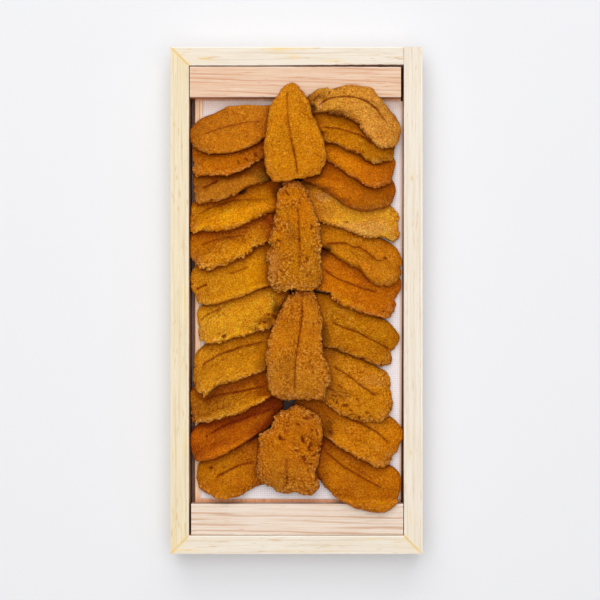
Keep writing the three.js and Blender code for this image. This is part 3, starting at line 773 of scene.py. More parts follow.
        patches=[(28, 28.4, 11, 3.4, 0.6, "#f2b068"), (12, 35, 4, 3, 0.4, "#a8742a"),
                 (10.5, 41.2, 4, 2.4, 0.55, "#eab468"), (4.5, 45.6, 3, 2.4, 0.6, "#5a3208")]),
    "right_6": dict(
        plan=(41.6, 12.9, 2.5, 28, -0.8, 18.2, 0.1, 2.6, 3.4, 5.6), tones=("#c47e14", "#c27a28", "outer"),
        grain=0.9, crumb=0.35, lip=0.4, melt=0.5, shaded=1,
        edge=[(9, 22), (12, 20.2), (15, 18), (20.5, 14.5), (25.5, 12), (28.7, 7.8), (32.7, 5.7),
              (36.7, 5.7), (40.6, 9), (41.4, 13.3)],
        vein=[(10.4, 21.8), (13, 22.7), (19.2, 22.8), (22.4, 21.3), (25.2, 21), (28.7, 18.8), (32, 16),
              # The patch is painted shade in the pocket beside centre_2.
              (35.9, 16.2)], pits=[(35.2, 16.8, 0.7)], patches=[(12.2, 20.4, 2.6, 1.6, 0.85, "#3a1a06")]),
    "right_7": dict(
        plan=(41.6, 2.2, 1.5, 15.2, -1.6, 19.8, 0.05, 2.8, 4.4, 5.6), tones=("#be6c04", "#c87608", "inner"),
        grain=0.8, crumb=0.7, lip=0.4, melt=0.3, shaded=1.2,
        edge=[(13.3, 3), (14.5, 0.6), (18, -1.8), (25, -4.2), (30, -6), (35, -7.3), (37.8, -4.8),
              (39.4, 0.2), (41.4, 8.5)], vein=[(10, 12.9), (15.7, 9), (22, 6.5), (27, 4.6), (33.5, 3)],
        pits=[(34.7, -4.2, 0.5)],
        # The patch at (11.6, 19) is painted shade in the pocket under right_6.
        patches=[(15.6, 1.8, 2.6, 2, 0.85, "#f0a010"), (19.6, -0.8, 3, 1.7, 0.85, "#f0a010"),
                 (24, -2.9, 3, 1.3, 0.7, "#e89810"), (11.6, 19, 2.6, 3, 0.8, "#4a2208")],
        rough=[(17, 0.4, 3, 18), (23, -2.6, 2.4, 10)]),
    "right_8": dict(
        plan=(40.2, -19.6, 1.5, -3, 0, 18.6, -0.05, 3, 4.4, 5.6), tones=("#b57204", "#b6740f", "outer"),
        grain=1, crumb=0.6, lip=0.1, melt=0.85, shaded=1,
        edge=[(35, -7.3), (39, -11), (41, -15), (37.8, -20.6), (33.2, -26.7), (28.7, -24.4), (22, -22),
              (16, -19.6), (11, -18.4)],
        vein=[(13.3, -7.3), (17.3, -10.3), (23.6, -12.3), (28.7, -15), (34, -17.8), (38.3, -20.4)],
        pits=[(26, -23.2, 1.1), (15, -20.2, 0.5), (18.4, -21.2, 0.4), (21.4, -22.4, 0.5),
              (33.4, -25.6, 0.5)],
        # The patch at (11.3, -13.5) is painted shadow beside centre_3.
        patches=[(11.3, -13.5, 2.2, 6.5, 0.65, "#4c2203"), (16, -19.4, 5, 1.6, 0.45, "#6a3c08")]),
    "right_9": dict(
        plan=(37.9, -40.2, 1.5, -24.2, 0, 21, 0, 3.2, 4.4, 5.6), tones=("#c47e1e", "#a46218", "inner"),
        grain=1.3, crumb=0.6, lip=0.2, melt=0.5, shaded=0.7,
        edge=[(36, -29), (37, -34.6), (38.3, -41), (37, -45.3), (34, -47.7), (27, -48), (23, -47),
              (17.3, -45.3), (12.5, -42.2), (10, -40.2)],
        vein=[(13.2, -25.4), (15.7, -27), (19.2, -29), (22, -31), (25.6, -33.9), (28.7, -35.8), (31, -37.4),
              (33, -36.2)],
        cracks=[[(12.5, -34.4), (15.2, -35.6)], [(13.5, -37), (16, -37.8)], [(16.2, -33.2), (18.4, -34.6)]],
        pits=[(19.2, -41.4, 0.95), (24.3, -39.1, 0.6), (24.9, -46.2, 0.8), (15.8, -40.5, 0.6),
              (17.3, -37.4, 0.4), (28, -44.5, 0.5), (14.6, -39.4, 0.4), (16.4, -41.8, 0.4),
              (21.6, -43.4, 0.4)],
        patches=[(15.5, -37.5, 5, 3.5, 0.35, "#7a4a14"), (31, -32, 6, 2.6, 0.35, "#e0a050")]),
    "right_10": dict(
        plan=(41, -59.6, 0, -38.9, -0.4, 19.8, 0.05, 2.6, 3.4, 5.6), tones=("#c87e1a", "#aa6208", "inner"),
        grain=1.1, crumb=0.9, lip=1.3, shaded=1.2,
        edge=[(38, -46.5), (41.4, -49.3), (41.4, -57), (38, -62.4), (35, -65.5), (32, -66.3), (30.3, -64.8),
              (27, -63.2), (23, -61.6), (19, -59.2), (16, -57.2), (12, -54.5)],
        vein=[(17.3, -45.3), (26, -49), (31, -51.8), (33.5, -53.7), (37.5, -57.6)],
        # The patch at (12.4, -51) is painted shadow under centre_4.
        pits=[(35.5, -63.2, 0.4), (13.3, -52, 0.6)], patches=[(12.4, -51, 2.8, 4.8, 0.65, "#4c2004")]),
    "right_11": dict(
        plan=(41.4, -78.2, 2.5, -57.6, -0.8, 22.8, 0.05, 2.5, 3.4, 5.6),
        tones=("#b86e06", "#c2760c", "outer"),
        grain=0.9, crumb=0.3, lip=0.6, shaded=1.9,
        edge=[(36.7, -65), (41, -68.7), (41.8, -73), (40.6, -77.8), (36, -83.4), (28.7, -83.4), (24, -82.2),
              (18, -79.8), (14, -77), (11, -73.5), (7.8, -69)],
        vein=[(10.5, -59.2), (15.3, -63.2), (19.2, -66.3), (26, -70.2), (31, -73), (34.7, -74.6)],
        soft_vein=[(20, -64.5), (26, -68.3), (31, -71.3)]),
    "centre_4": dict(
        plan=(-3.7, -76.6, 0.2, -41.4, 0, 25.7, 0.06, 3.4, 2.4, 5.6), tones=("#b86c08", "#b06c2c", "outer"),
        grain=1.6, crumb=0.55, lip=0.5, wrinkle=0.15,
        edge=[(-7, -44.5), (-3.5, -43), (0, -41.4), (4.6, -43), (8.2, -45), (10.5, -49.3), (10.5, -53),
              (9.7, -57), (9, -65), (7.2, -68), (9.4, -74), (7, -76.2), (0.5, -76.3), (-6.5, -75.8),
              (-9.7, -74.2), (-12.8, -72.7), (-15.2, -70.3), (-16, -65.5), (-15.2, -58.5), (-14.8, -53),
              (-10.5, -51), (-9.3, -47.7)], soft_vein=[(-3.7, -62), (-3.9, -74)],
        cracks=[[(5.2, -44.6), (6.6, -45.6)], [(4.4, -58.8), (6.8, -59.4)], [(4, -64.2), (6.4, -65)],
                [(7.6, -50.5), (8.6, -53.5)], [(2.2, -55), (3.2, -56.2)], [(-7, -54.6), (-4.3, -55)]],
        pits=[(3.8, -46.5, 0.8), (0.6, -48.9, 0.6), (2.2, -54.5, 0.8), (5.4, -57.6, 1), (-0.2, -59.2, 0.6),
              (3, -62.4, 0.8), (-6.5, -54.1, 0.7), (4.6, -67.1, 0.7), (7, -61, 0.7), (6, -51, 0.6)]),
    "centre_3": dict(
        plan=(0.6, -39.4, 2.2, 4.4, 0, 21.4, 0.26, 3.4, 2.6, 5.6), tones=("#bc7218", "#b47234", "outer"),
        grain=1.3, crumb=0.65, lip=1, wrinkle=0.12,
        edge=[(-2, 2.8), (7, 3.4), (9, -2.2), (10.1, -8), (10.1, -16), (10.5, -21.6), (12.5, -26.3),
              (13.3, -31), (11.7, -35.4), (11, -38), (6.2, -39.4), (0.2, -39), (-3.7, -39.4), (-9.7, -37.8),
              (-11, -33.5), (-11.6, -27), (-12.4, -22.8), (-10, -11.7), (-5.7, -3.4), (-4, 0.6)],
        vein=[(2.2, 1.4), (2.2, -6.5), (1, -14.5), (-0.2, -22.4), (-0.6, -28.7), (-0.6, -38.2)]),
    "centre_2": dict(
        plan=(-0.6, 3.8, -1, 48.3, 0, 18.2, 0.3, 3.6, 2.4, 5.6), tones=("#c27608", "#b2700a", "outer"),
        grain=2, crumb=0.7, lip=1, wrinkle=0.5,
        edge=[(-1.3, 47.3), (3, 45), (6.6, 37), (9.3, 28.3), (10.1, 22.8), (9.3, 18), (10.1, 8.5), (9, 5),
              (-2.5, 3.8), (-9.3, 5), (-11, 7.7), (-11.2, 13.3), (-12, 17.2), (-11.6, 22), (-9, 22.8),
              (-9, 29), (-8, 36.6), (-7.7, 43), (-5.3, 45.7)], vein=[(0.6, 32.5), (0.8, 29.5), (1.3, 22)],
        soft_vein=[(0.6, 38), (1.4, 22), (1, 10)],
        cracks=[[(-4.5, 43.5), (-2.8, 41.2)], [(-8.6, 29.5), (-7.2, 27.6)], [(-8, 24), (-5.5, 22.8)],
                [(-9.5, 21.2), (-8.4, 19.6)], [(5.5, 30.5), (6.2, 27.5)], [(3.5, 17.5), (4.4, 15)]],
        patches=[(-8.6, 13.5, 1.9, 6.5, 0.45, "#dc9c54"), (-2.5, 26, 3, 5, 0.35, "#8a5006"),
                 (5.5, 13, 3, 5, 0.3, "#dc9628")]),
    "centre_1": dict(
        plan=(-0.2, 47.3, -2.5, 86.1, 0, 21.4, 0.36, 3, 2, 5.6), tones=("#c67e14", "#ca821a", "inner"),
        grain=0.9, crumb=0.25, lip=1,
        edge=[(-1.7, 86.1), (3, 81.8), (6.2, 73), (9.3, 67), (11.3, 61.6), (12, 55.2), (10.4, 51.6),
              (6.4, 49), (2.4, 47.8), (-1, 47.4), (-8.8, 46.7), (-11.2, 50), (-12.4, 57.2), (-12.8, 61.6),
              (-11.2, 70.3), (-10.5, 76.6), (-7.7, 80.6), (-4, 85)],
        vein=[(-2.4, 65), (-1.7, 61.5), (-0.7, 57.3), (0.6, 49)],
        soft_vein=[(-3.6, 85), (-3.7, 78), (-3.1, 70), (-2.1, 63.5), (-0.7, 57.3), (0.6, 49)]),
}
# The columns as they are laid: name, number of lobes, turn, how much a lobe sags, and first seed. Turn
# is 1 if a lobe's upper side is to the left on the way from its outer to its inner end, and else -1.
COLUMNS = [("left", 11, 1, 0.13, 1000), ("right", 11, -1, 0.13, 3000), ("centre", 4, -1, 0.06, 5000)]

EDGE_SHARE = 0.34       # how thick a lobe is at its rim, as a share of its middle
DOME_POWER = 2.6        # the higher, the flatter its top and the steeper its rim
CURL_POWER = 6          # the same for the way its underside curls up to the rim
LIP_RISE = 1.3          # how far its lower edge stands off what it lies on
RAGGED = 0.045          # how far its outline strays, as a share of its size
RIM_CROWDING = 1.35     # how much closer together its points are near the rim
# Where an outline has no points for WIDE_GAP, it is back on the plan RETURN_AFTER from the last one.
WIDE_GAP, RETURN_AFTER = np.radians(70), np.radians(25)
CELLS_ALONG = 150
CELLS_ACROSS = 80
UNDER_RINGS = [(0.97, 1), (0.9, 1), (0.75, 4), (0.5, 4)]  # of its underside: size, points skipped
SETTLING_PASSES = 2400  # enough for a sagging sheet to come to rest
DIRECTIONS = np.radians(np.arange(-180, 180, 1.0))
FIELD_STEP = 0.5        # the spacing of the heights that are known all over the box
FIELD_MARGIN = 7        # how many of them beyond its rim a lobe is laid with
FIELD_X = np.arange(-50, 50.01, FIELD_STEP)
FIELD_Y = np.arange(-101, 101.01, FIELD_STEP)

# The dark lines: how dark each kind is, and how deep the soft hollow on both sides of it.
# A vein is dark in its own colour; the darkness of a crack is painted shade.
LINE_KINDS = {"vein": (1.0, 0.55), "soft_vein": (0.64, 0.55), "crack": (0.9, 0.1)}
VEIN_WIDTH = 0.36
SMALL_GRAIN = 0.75      # millimetres across
LARGE_GRAIN = 1.25
GRAIN_REACH = 0.75      # where the side of a grain ends, as a share of its size
PIT_DEPTH = 0.9
FOLD_PITCH = 2.1
FOLD_DEPTH = 0.4

ROE_TINT = np.array([1.40, 1.42, 0.28])     # from the tones of the table to what the light calls for
PALE_AND_HIGHLIGHT_ROE = linear("#f6c076")                # the pale grains of broken edges, and the painted highlights on the brightest grains
VEIN_AND_SHADE_ROE = linear("#802a04")                # veins, and painted shade in splits and pits
PAINTED_SHADE_SHARE = np.array([0.5, 0.71, 0.86])     # what the painted shade in hollows takes of red, green and blue
# Painted shade: the underside is darker than the mean of the top.
UNDERSIDE_SHADE = 0.8
CREVICE_REACHES = (0.8, 1.6, 3.0, 5.0)      # how far off what hides the sky is looked for
CREVICE_BEARINGS = 12                       # and in how many directions
CRUMBS_A_LOBE = 18                          # loose grains on a fully broken edge
CRUMB_SMALLEST, CRUMB_RANGE = 0.18, 0.42    # their radii


def middle_line(lobe, along):
    """The lobe's middle line at a share of the way from its middle (0) to its ends, and the
    outward direction there."""
    outer_x, outer_y, inner_x, inner_y, bow = lobe["plan"][:5]
    half = np.array([inner_x - outer_x, inner_y - outer_y]) / 2
    side = np.array([-half[1], half[0]]) / np.linalg.norm(half) * lobe["turn"]
    heading = half - (2 * along * bow)[:, None] * side
    heading = heading / np.linalg.norm(heading, axis=1)[:, None]
    outward = np.stack([-heading[:, 1], heading[:, 0]], 1) * lobe["turn"]
    middle = np.array([outer_x + inner_x, outer_y + inner_y]) / 2
    return middle + along[:, None] * half + (bow * (1 - along ** 2))[:, None] * side, outward


def to_plan(lobe, along, across):
    """From the lobe's own coordinates to places in the box."""
    width, taper = lobe["plan"][5:7]
    line, outward = middle_line(lobe, along)
    reach = width / 2 * across * (1 - taper * along)
    return line + reach[:, None] * outward


def to_lobe(lobe, places):
    """The reverse of to_plan."""
    width, taper = lobe["plan"][5:7]
    outer_x, outer_y, inner_x, inner_y = lobe["plan"][:4]
    half = np.array([inner_x - outer_x, inner_y - outer_y]) / 2
    along = np.zeros(len(places))
    across = np.zeros(len(places))
    for _ in range(20):
        line, outward = middle_line(lobe, along)
        across = np.sum((places - line) * outward, 1) / (width / 2 * (1 - taper * along))
        missing = places - to_plan(lobe, along, across)
        along = along + missing @ half / (half @ half)
    return along, across


def superellipse(lobe, angle):
    """How far the plain outline is from the middle in each direction, in the lobe's coordinates."""
    roundness = np.where(np.cos(angle) < 0, lobe["plan"][7], lobe["plan"][8])
    return (np.abs(np.cos(angle)) ** roundness + np.abs(np.sin(angle)) ** roundness) ** (-1 / roundness)


def outline_scale(lobe):
    """By direction, how much further out the lobe's real outline is than the plain one."""
    places = np.array(lobe["edge"], float)
    along, across = to_lobe(lobe, places)
    angle = np.arctan2(across, along)
    scale = np.hypot(along, across) / superellipse(lobe, angle)
    order = np.argsort(angle)
    angle, scale = angle[order], scale[order]
    gaps = np.diff(np.append(angle, angle[0] + 2 * np.pi))
    anchors = []
    for index, gap in enumerate(gaps):
        if gap > WIDE_GAP:
            after = angle[(index + 1) % len(angle)] + (2 * np.pi if index + 1 == len(angle) else 0)
            anchors += [angle[index] + RETURN_AFTER, after - RETURN_AFTER]
    angle = np.append(angle, [(turn + np.pi) % (2 * np.pi) - np.pi for turn in anchors])
    scale = np.append(scale, np.ones(len(anchors)))
    order = np.argsort(angle)
    table = np.interp(DIRECTIONS, angle[order], scale[order], period=2 * np.pi)
    kernel = np.array([1, 2, 3, 2, 1]) / 9
    return np.convolve(np.concatenate([table[-2:], table, table[:2]]), kernel, "valid")


def rim_reach(lobe, angle):
    """How far the lobe's real outline is from its middle in each direction."""
    return superellipse(lobe, angle) * np.interp(angle, DIRECTIONS, lobe["scale"], period=2 * np.pi)


def near_line(places, line):
    """Each place's distance from a line of points, and how far along the line, from 0 to 1."""
    line = np.array(line, float)
    lengths = np.linalg.norm(np.diff(line, axis=0), axis=1)
    before = np.concatenate([[0], np.cumsum(lengths)]) / lengths.sum()
    nearest = np.full(len(places), np.inf)
    progress = np.zeros(len(places))
    for index, length in enumerate(lengths):
        step = line[index + 1] - line[index]
        share = np.clip((places - line[index]) @ step / length ** 2, 0, 1)
        far = np.linalg.norm(places - line[index] - share[:, None] * step, axis=1)
        closer = far < nearest
        nearest = np.where(closer, far, nearest)
        progress = np.where(closer, before[index] + share * length / lengths.sum(), progress)
    return nearest, progress


def smooth_line(line):
    """A soft curve through the points of a line."""
    line = np.array(line, float)
    if len(line) < 3:
        return line
    padded = np.concatenate([[2 * line[0] - line[1]], line, [2 * line[-1] - line[-2]]])
    curve = []
    for index in range(1, len(padded) - 2):
        a, b, c, d = padded[index - 1:index + 3]
        for t in np.linspace(0, 1, 5)[:-1]:
            curve.append(0.5 * (2 * b + (c - a) * t + (2 * a - 5 * b + 4 * c - d) * t ** 2
                                + (3 * b - a - 3 * c + d) * t ** 3))
    return np.array([*curve, line[-1]])


def empty_field():
    """The height of what the lobes are laid on, by row and column: the paper and the two battens."""
    field = np.full((len(FIELD_Y), len(FIELD_X)), PAPER_TOP)
    field[np.abs(FIELD_Y) > BATTEN_INNER_Y - 1, :] = BATTEN_TOP
    return field


def field_index(places):
    """The row and column of the sample nearest to each place."""
    column = np.clip(np.rint((places[:, 0] - FIELD_X[0]) / FIELD_STEP).astype(int), 0, len(FIELD_X) - 1)
    row = np.clip(np.rint((places[:, 1] - FIELD_Y[0]) / FIELD_STEP).astype(int), 0, len(FIELD_Y) - 1)
    return row, column


def shifted(values, fill):
    """The values of the four neighbours of every sample."""
    padded = np.pad(values, 1, constant_values=fill)
    return padded[:-2, 1:-1], padded[2:, 1:-1], padded[1:-1, :-2], padded[1:-1, 2:]


def grown(mask, steps):
    """The mask, wider by some samples all round."""
    for _ in range(steps):
        mask = np.maximum.reduce([mask, *shifted(mask, 0)])
    return mask


def resting_sheet(field, places, sag):
    """The surface that a lobe comes to rest on: a sheet over its plan that sags until it meets what
    is below. Returned over the whole field."""
    row, column = field_index(places)
    window = tuple(slice(max(spots.min() - FIELD_MARGIN, 0), min(spots.max() + FIELD_MARGIN, size - 1) + 1)
                   for spots, size in ((row, len(FIELD_Y)), (column, len(FIELD_X))))
    inside = np.zeros(field.shape)
    inside[row, column] = 1
    inside = grown(inside[window], 4)
    solid = field[window]
    for _ in range(2):
        solid = np.maximum.reduce([solid, *shifted(solid, -1.0)])
    count = np.maximum(sum(shifted(inside, 0)), 1)
    sheet = np.where(inside > 0, solid[inside > 0].max(), 0.0)
    drop = sag * FIELD_STEP ** 2 / 4
    for _ in range(SETTLING_PASSES):
        up, down, west, east = shifted(sheet, 0)
        sheet = np.maximum((up + down + west + east) / count - drop, solid) * inside
    for _ in range(3):
        up, down, west, east = shifted(sheet, 0)
        sheet = ((up + down + west + east + 2 * sheet) / (count + 2)) * inside
    result = field.copy()
    result[window] = np.where(inside > 0, sheet, field[window])
    return result


def height_at(field, places):
    """The height of the field at each place, between its samples too."""
    column = np.clip((places[:, 0] - FIELD_X[0]) / FIELD_STEP, 0, len(FIELD_X) - 1.001)
    row = np.clip((places[:, 1] - FIELD_Y[0]) / FIELD_STEP, 0, len(FIELD_Y) - 1.001)
    c, r = column.astype(int), row.astype(int)
    part_c, part_r = column - c, row - r
    near = field[r, c] * (1 - part_c) + field[r, c + 1] * part_c
    far = field[r + 1, c] * (1 - part_c) + field[r + 1, c + 1] * part_c
    return near * (1 - part_r) + far * part_r


def disc_grid():
    """An even grid over a disc: for each point its distance from the middle, drawn closer together
    near the rim, and its direction."""
    s, t = np.meshgrid(np.linspace(-1, 1, CELLS_ALONG + 1), np.linspace(-1, 1, CELLS_ACROSS + 1))
    x = s * np.sqrt(1 - t ** 2 / 2)
    y = t * np.sqrt(1 - s ** 2 / 2)
    radius = np.clip(np.hypot(x, y), 0, 1)
    return 1 - (1 - radius.ravel()) ** RIM_CROWDING, np.arctan2(y, x).ravel()


def surface_normals(points):
    """The upward direction of a lobe's surface at each point of its grid."""
    grid = points.reshape(CELLS_ACROSS + 1, CELLS_ALONG + 1, 3)
    along = np.gradient(grid, axis=1)
    across = np.gradient(grid, axis=0)
    normal = np.cross(along, across).reshape(-1, 3)
    normal *= np.sign(normal[:, 2].sum())
    return normal / np.maximum(np.linalg.norm(normal, axis=1), 1e-9)[:, None]


def ragged_reach(lobe, share, angle, low_side):
    """The lobe's outline by direction, frayed where its lower edge is torn."""
    seed, crumb = lobe["seed"], lobe["crumb"]
    circle = np.stack([20 * np.cos(angle), 9 * np.sin(angle), np.zeros(len(angle))], 1)
    torn = smoothstep(-0.3, 0.5, smooth_noise(circle, 3.0, seed + 12)) * crumb
    ragged = 0.5 * smooth_noise(circle, 3.4, seed) + 0.55 * smooth_noise(circle, 1.6, seed + 1)
    ragged += (0.8 * smooth_noise(circle, 0.9, seed + 2) + 0.4 * smooth_noise(circle, 0.5, seed)) * torn
    ragged = RAGGED * ragged * (0.35 + crumb * low_side) * smoothstep(0.6, 1, share)
    return rim_reach(lobe, angle) * (1 + ragged)


def line_marks(lobe, points):
    """How dark each point is from the veins and splits, and how deep it lies in them."""
    lines = [(lobe[kind], *LINE_KINDS[kind]) for kind in ("vein", "soft_vein") if kind in lobe]
    lines += [(crack, *LINE_KINDS["crack"]) for crack in lobe.get("cracks", [])]
    vein, groove = np.zeros(len(points)), np.zeros(len(points))
    width = VEIN_WIDTH * (1 + 0.5 * smooth_noise(points, 1.6, lobe["seed"] + 3))
    for line, strength, hollow in lines:
        far, progress = near_line(points[:, :2], smooth_line(line))
        fade = smoothstep(0, 0.12, progress) * smoothstep(0, 0.12, 1 - progress)
        depth = hollow * np.exp(-(far / 1.9) ** 2) + 0.45 * np.exp(-(far / 0.45) ** 2)
        vein = np.maximum(vein, strength * fade * np.exp(-(far / width) ** 2))
        groove = np.maximum(groove, strength * fade * depth)
    return vein, groove


def pit_marks(lobe, points):
    """How deep each point lies in one of the small oblong holes, from 0 to 1."""
    pitted = np.zeros(len(points))
    uneven = 1 + 0.5 * smooth_noise(points, 0.7, lobe["seed"] + 4)
    for number, (x, y, radius) in enumerate(lobe.get("pits", [])):
        cosine, sine = math.cos(2.4 * number), math.sin(2.4 * number)
        offset_x, offset_y = points[:, 0] - x, points[:, 1] - y
        long_way = offset_x * cosine + offset_y * sine
        short_way = offset_y * cosine - offset_x * sine
        far = np.hypot(long_way / 1.3, short_way / 0.6) * uneven
        pitted = np.maximum(pitted, np.exp(-(far / radius) ** 2) * min(1.0, radius / 0.6))
    return pitted


def shape_lobe(lobe, field):
    """The lobe's upper surface, what its colours depend on, and its underside ring by ring."""
    seed = lobe["seed"]
    share, angle = disc_grid()
    centred = lobe["column"] == "centre"
    low_side = np.ones(len(angle)) if centred else on_lower_side(angle)
    reach = ragged_reach(lobe, share, angle, low_side)
    along, across = share * reach * np.cos(angle), share * reach * np.sin(angle)
    places = to_plan(lobe, along, across)
    inside_frame(places)
    sheet = resting_sheet(field, places, lobe["sag"])
    edge = edge_share(lobe, angle)
    dome = edge + (1 - edge) * np.sqrt(1 - np.minimum(share, 1) ** DOME_POWER)
    height = height_at(sheet, places) + GAP + lower_lip(lobe, share, angle) + lobe["plan"][9] * dome
    points = np.column_stack([places, height])
    vein, groove = line_marks(lobe, points)
    pitted = pit_marks(lobe, points)
    points[:, 2] -= groove + PIT_DEPTH * pitted

    near_edge = smoothstep(0.78, 0.98, share) * low_side * lobe["crumb"]
    far_small, tag_small = grain_noise(points, SMALL_GRAIN, seed + 5)
    far_large, tag_large = grain_noise(points, LARGE_GRAIN, seed + 6)
    small = 1 - np.minimum(far_small / GRAIN_REACH, 1) ** 2
    large = 1 - np.minimum(far_large / GRAIN_REACH, 1) ** 2
    coarse = lobe["grain"] * (0.35 + 0.95 * smoothstep(-0.5, 0.5, smooth_noise(points, 4.2, seed + 11)))
    swell = 0.25 * smooth_noise(points, 6, seed + 7) + 0.15 * smooth_noise(points, 2.6, seed + 8)
    # The relief: soft swell, small grains, large grains where it is coarse, broken edge, then folds.
    lift = swell * (0.6 + 0.5 * lobe["grain"])
    lift += coarse * 0.14 * (small - 0.5) * (0.6 + 0.8 * tag_small)
    lift += np.maximum(coarse - 0.7, 0) * 0.2 * (large - 0.5) * (0.6 + 0.8 * tag_large)
    lift += near_edge * (0.26 * (large - 0.5) * (0.5 + tag_large) + 0.12 * (small - 0.5))
    folds = np.sin(2 * np.pi * (along * 18 + 1.5 * smooth_noise(points, 3, seed + 9)) / FOLD_PITCH)
    folds *= 0.5 + 0.5 * smooth_noise(points, 5, seed + 10)
    lift += lobe.get("wrinkle", 0) * FOLD_DEPTH * folds * smoothstep(0.2, 0.8, low_side * share)
    points += surface_normals(points) * lift[:, None]
    inside_frame(points)

    shell, shell_faces = underside(lobe, angle, sheet)
    np.maximum.at(field, field_index(points), points[:, 2])
    marks = dict(share=share, angle=angle, vein=vein, pitted=pitted, small=small, tag=tag_small,
                 large=large, near_edge=near_edge, coarse=coarse)
    return points, marks, shell, shell_faces


def on_lower_side(angle):
    """How far a direction points to the lobe's lower side, from 0 to 1."""
    return smoothstep(-0.2, 0.6, -np.sin(angle))


def edge_share(lobe, angle):
    """How thick the lobe is at its rim, as a share of its middle: less where its lower edge melts
    into the next lobe."""
    return EDGE_SHARE * (1 - lobe.get("melt", 0) * on_lower_side(angle))


def lower_lip(lobe, share, angle):
    """The rise of the edge that overhangs the next lobe."""
    waves = np.stack([3 * np.cos(angle), 3 * np.sin(angle), np.zeros(len(angle))], 1)
    uneven = 0.6 + 0.6 * smooth_noise(waves, 1.3, lobe["seed"] + 30)
    facing = smoothstep(-0.1, 0.7, -np.sin(angle)) if lobe["column"] != "centre" else 0.7
    return LIP_RISE * lobe["lip"] * facing * uneven * smoothstep(0.55, 1.0, share)


def toward(lobe, angle, share):
    """How far each point lies towards the side where the lobe's second tone is, from 0 to 1."""
    side = lobe["tones"][2]
    x, y = share * np.cos(angle), share * np.sin(angle)
    lean = {"outer": -x, "inner": x, "upper": y, "lower": -y}[side]
    return smoothstep(-0.35, 0.75, lean)


def crevice(field, points):
    """How much of the sky is hidden from each point by what lies around it, from 0 to 1."""
    hidden = np.zeros(len(points))
    for bearing in np.arange(CREVICE_BEARINGS) * 2 * math.pi / CREVICE_BEARINGS:
        step = np.array([math.cos(bearing), math.sin(bearing)])
        slope = np.zeros(len(points))
        for reach in CREVICE_REACHES:
            rise = height_at(field, points[:, :2] + reach * step) - points[:, 2]
            slope = np.maximum(slope, rise / reach)
        hidden += slope ** 2 / (1 + slope ** 2)
    return hidden / CREVICE_BEARINGS


def lobe_colours(lobe, points, marks, field):
    """The colour of each point: the lobe's tones, then grains with painted light and shade, pale edges
    and painted highlights, patches, painted shade in the hollows, veins, painted shade in splits and pits.
    """
    seed = lobe["seed"]
    small, large, coarse, near_edge = [marks[name] for name in ("small", "large", "coarse", "near_edge")]
    first, second = linear(lobe["tones"][0]), linear(lobe["tones"][1])
    lean = toward(lobe, marks["angle"], marks["share"]) + 0.35 * smooth_noise(points, 7, seed + 20)
    colours = first + np.clip(lean, 0, 1)[:, None] * (second - first)

    shade = 1 + 0.06 * smooth_noise(points, 4.5, seed + 21) + 0.08 * smooth_noise(points, 1.6, seed + 22)
    # Painted light on the grains: lighter tops, and painted shade in the hollows between them.
    shade += coarse * (0.28 * (small - 0.55) + 0.19 * (marks["tag"] - 0.5))
    hollow = np.clip(0.5 - small, 0, 1) * coarse * 0.5 + near_edge * np.clip(0.45 - large, 0, 1)
    shade *= 1 - 0.45 * np.clip(hollow, 0, 0.8)
    # Where it is brightest it gets a painted highlight.
    highlight_share = np.clip(shade - 1.08, 0, 1)
    shade = np.clip(shade, 0.2, 2)[:, None] ** np.array([0.75, 1.15, 1.4])
    warmth = smooth_noise(points, 3.2, seed + 23)[:, None] * np.array([0.0, 0.05, 0.2])
    colours = np.minimum(colours * shade * (1 + warmth) * ROE_TINT, 0.95)

    def blend(share, most, colour):
        return colours + np.clip(share, 0, most)[:, None] * (colour - colours)

    # Pale grains along the broken edge, and painted highlights.
    colours = blend(0.9 * near_edge * (large - 0.3) + 1.1 * highlight_share, 0.9, PALE_AND_HIGHLIGHT_ROE)
    # Patches of another tone, some of them painted shade.
    for x, y, reach_x, reach_y, strength, patch in lobe.get("patches", []):
        far = np.hypot((points[:, 0] - x) / reach_x, (points[:, 1] - y) / reach_y)
        far *= 1 + 0.35 * smooth_noise(points, 2.2, seed + 24)
        blot = strength * smoothstep(1.25, 0.4, far) * (0.75 + 0.5 * (small - 0.4))
        colours = blend(blot, 1, linear(patch))
    # Painted shade in the hollows beside the neighbouring lobes.
    hollow_shade = np.clip(lobe.get("shaded", 1.5) * crevice(field, points), 0, 1)[:, None]
    colours = colours * (1 - hollow_shade * PAINTED_SHADE_SHARE)
    # Dark veins, and painted shade in splits and pits.
    colours = blend(0.9 * marks["vein"] + 0.95 * marks["pitted"], 0.93, VEIN_AND_SHADE_ROE)
    return np.clip(colours, 0.0005, 0.95)


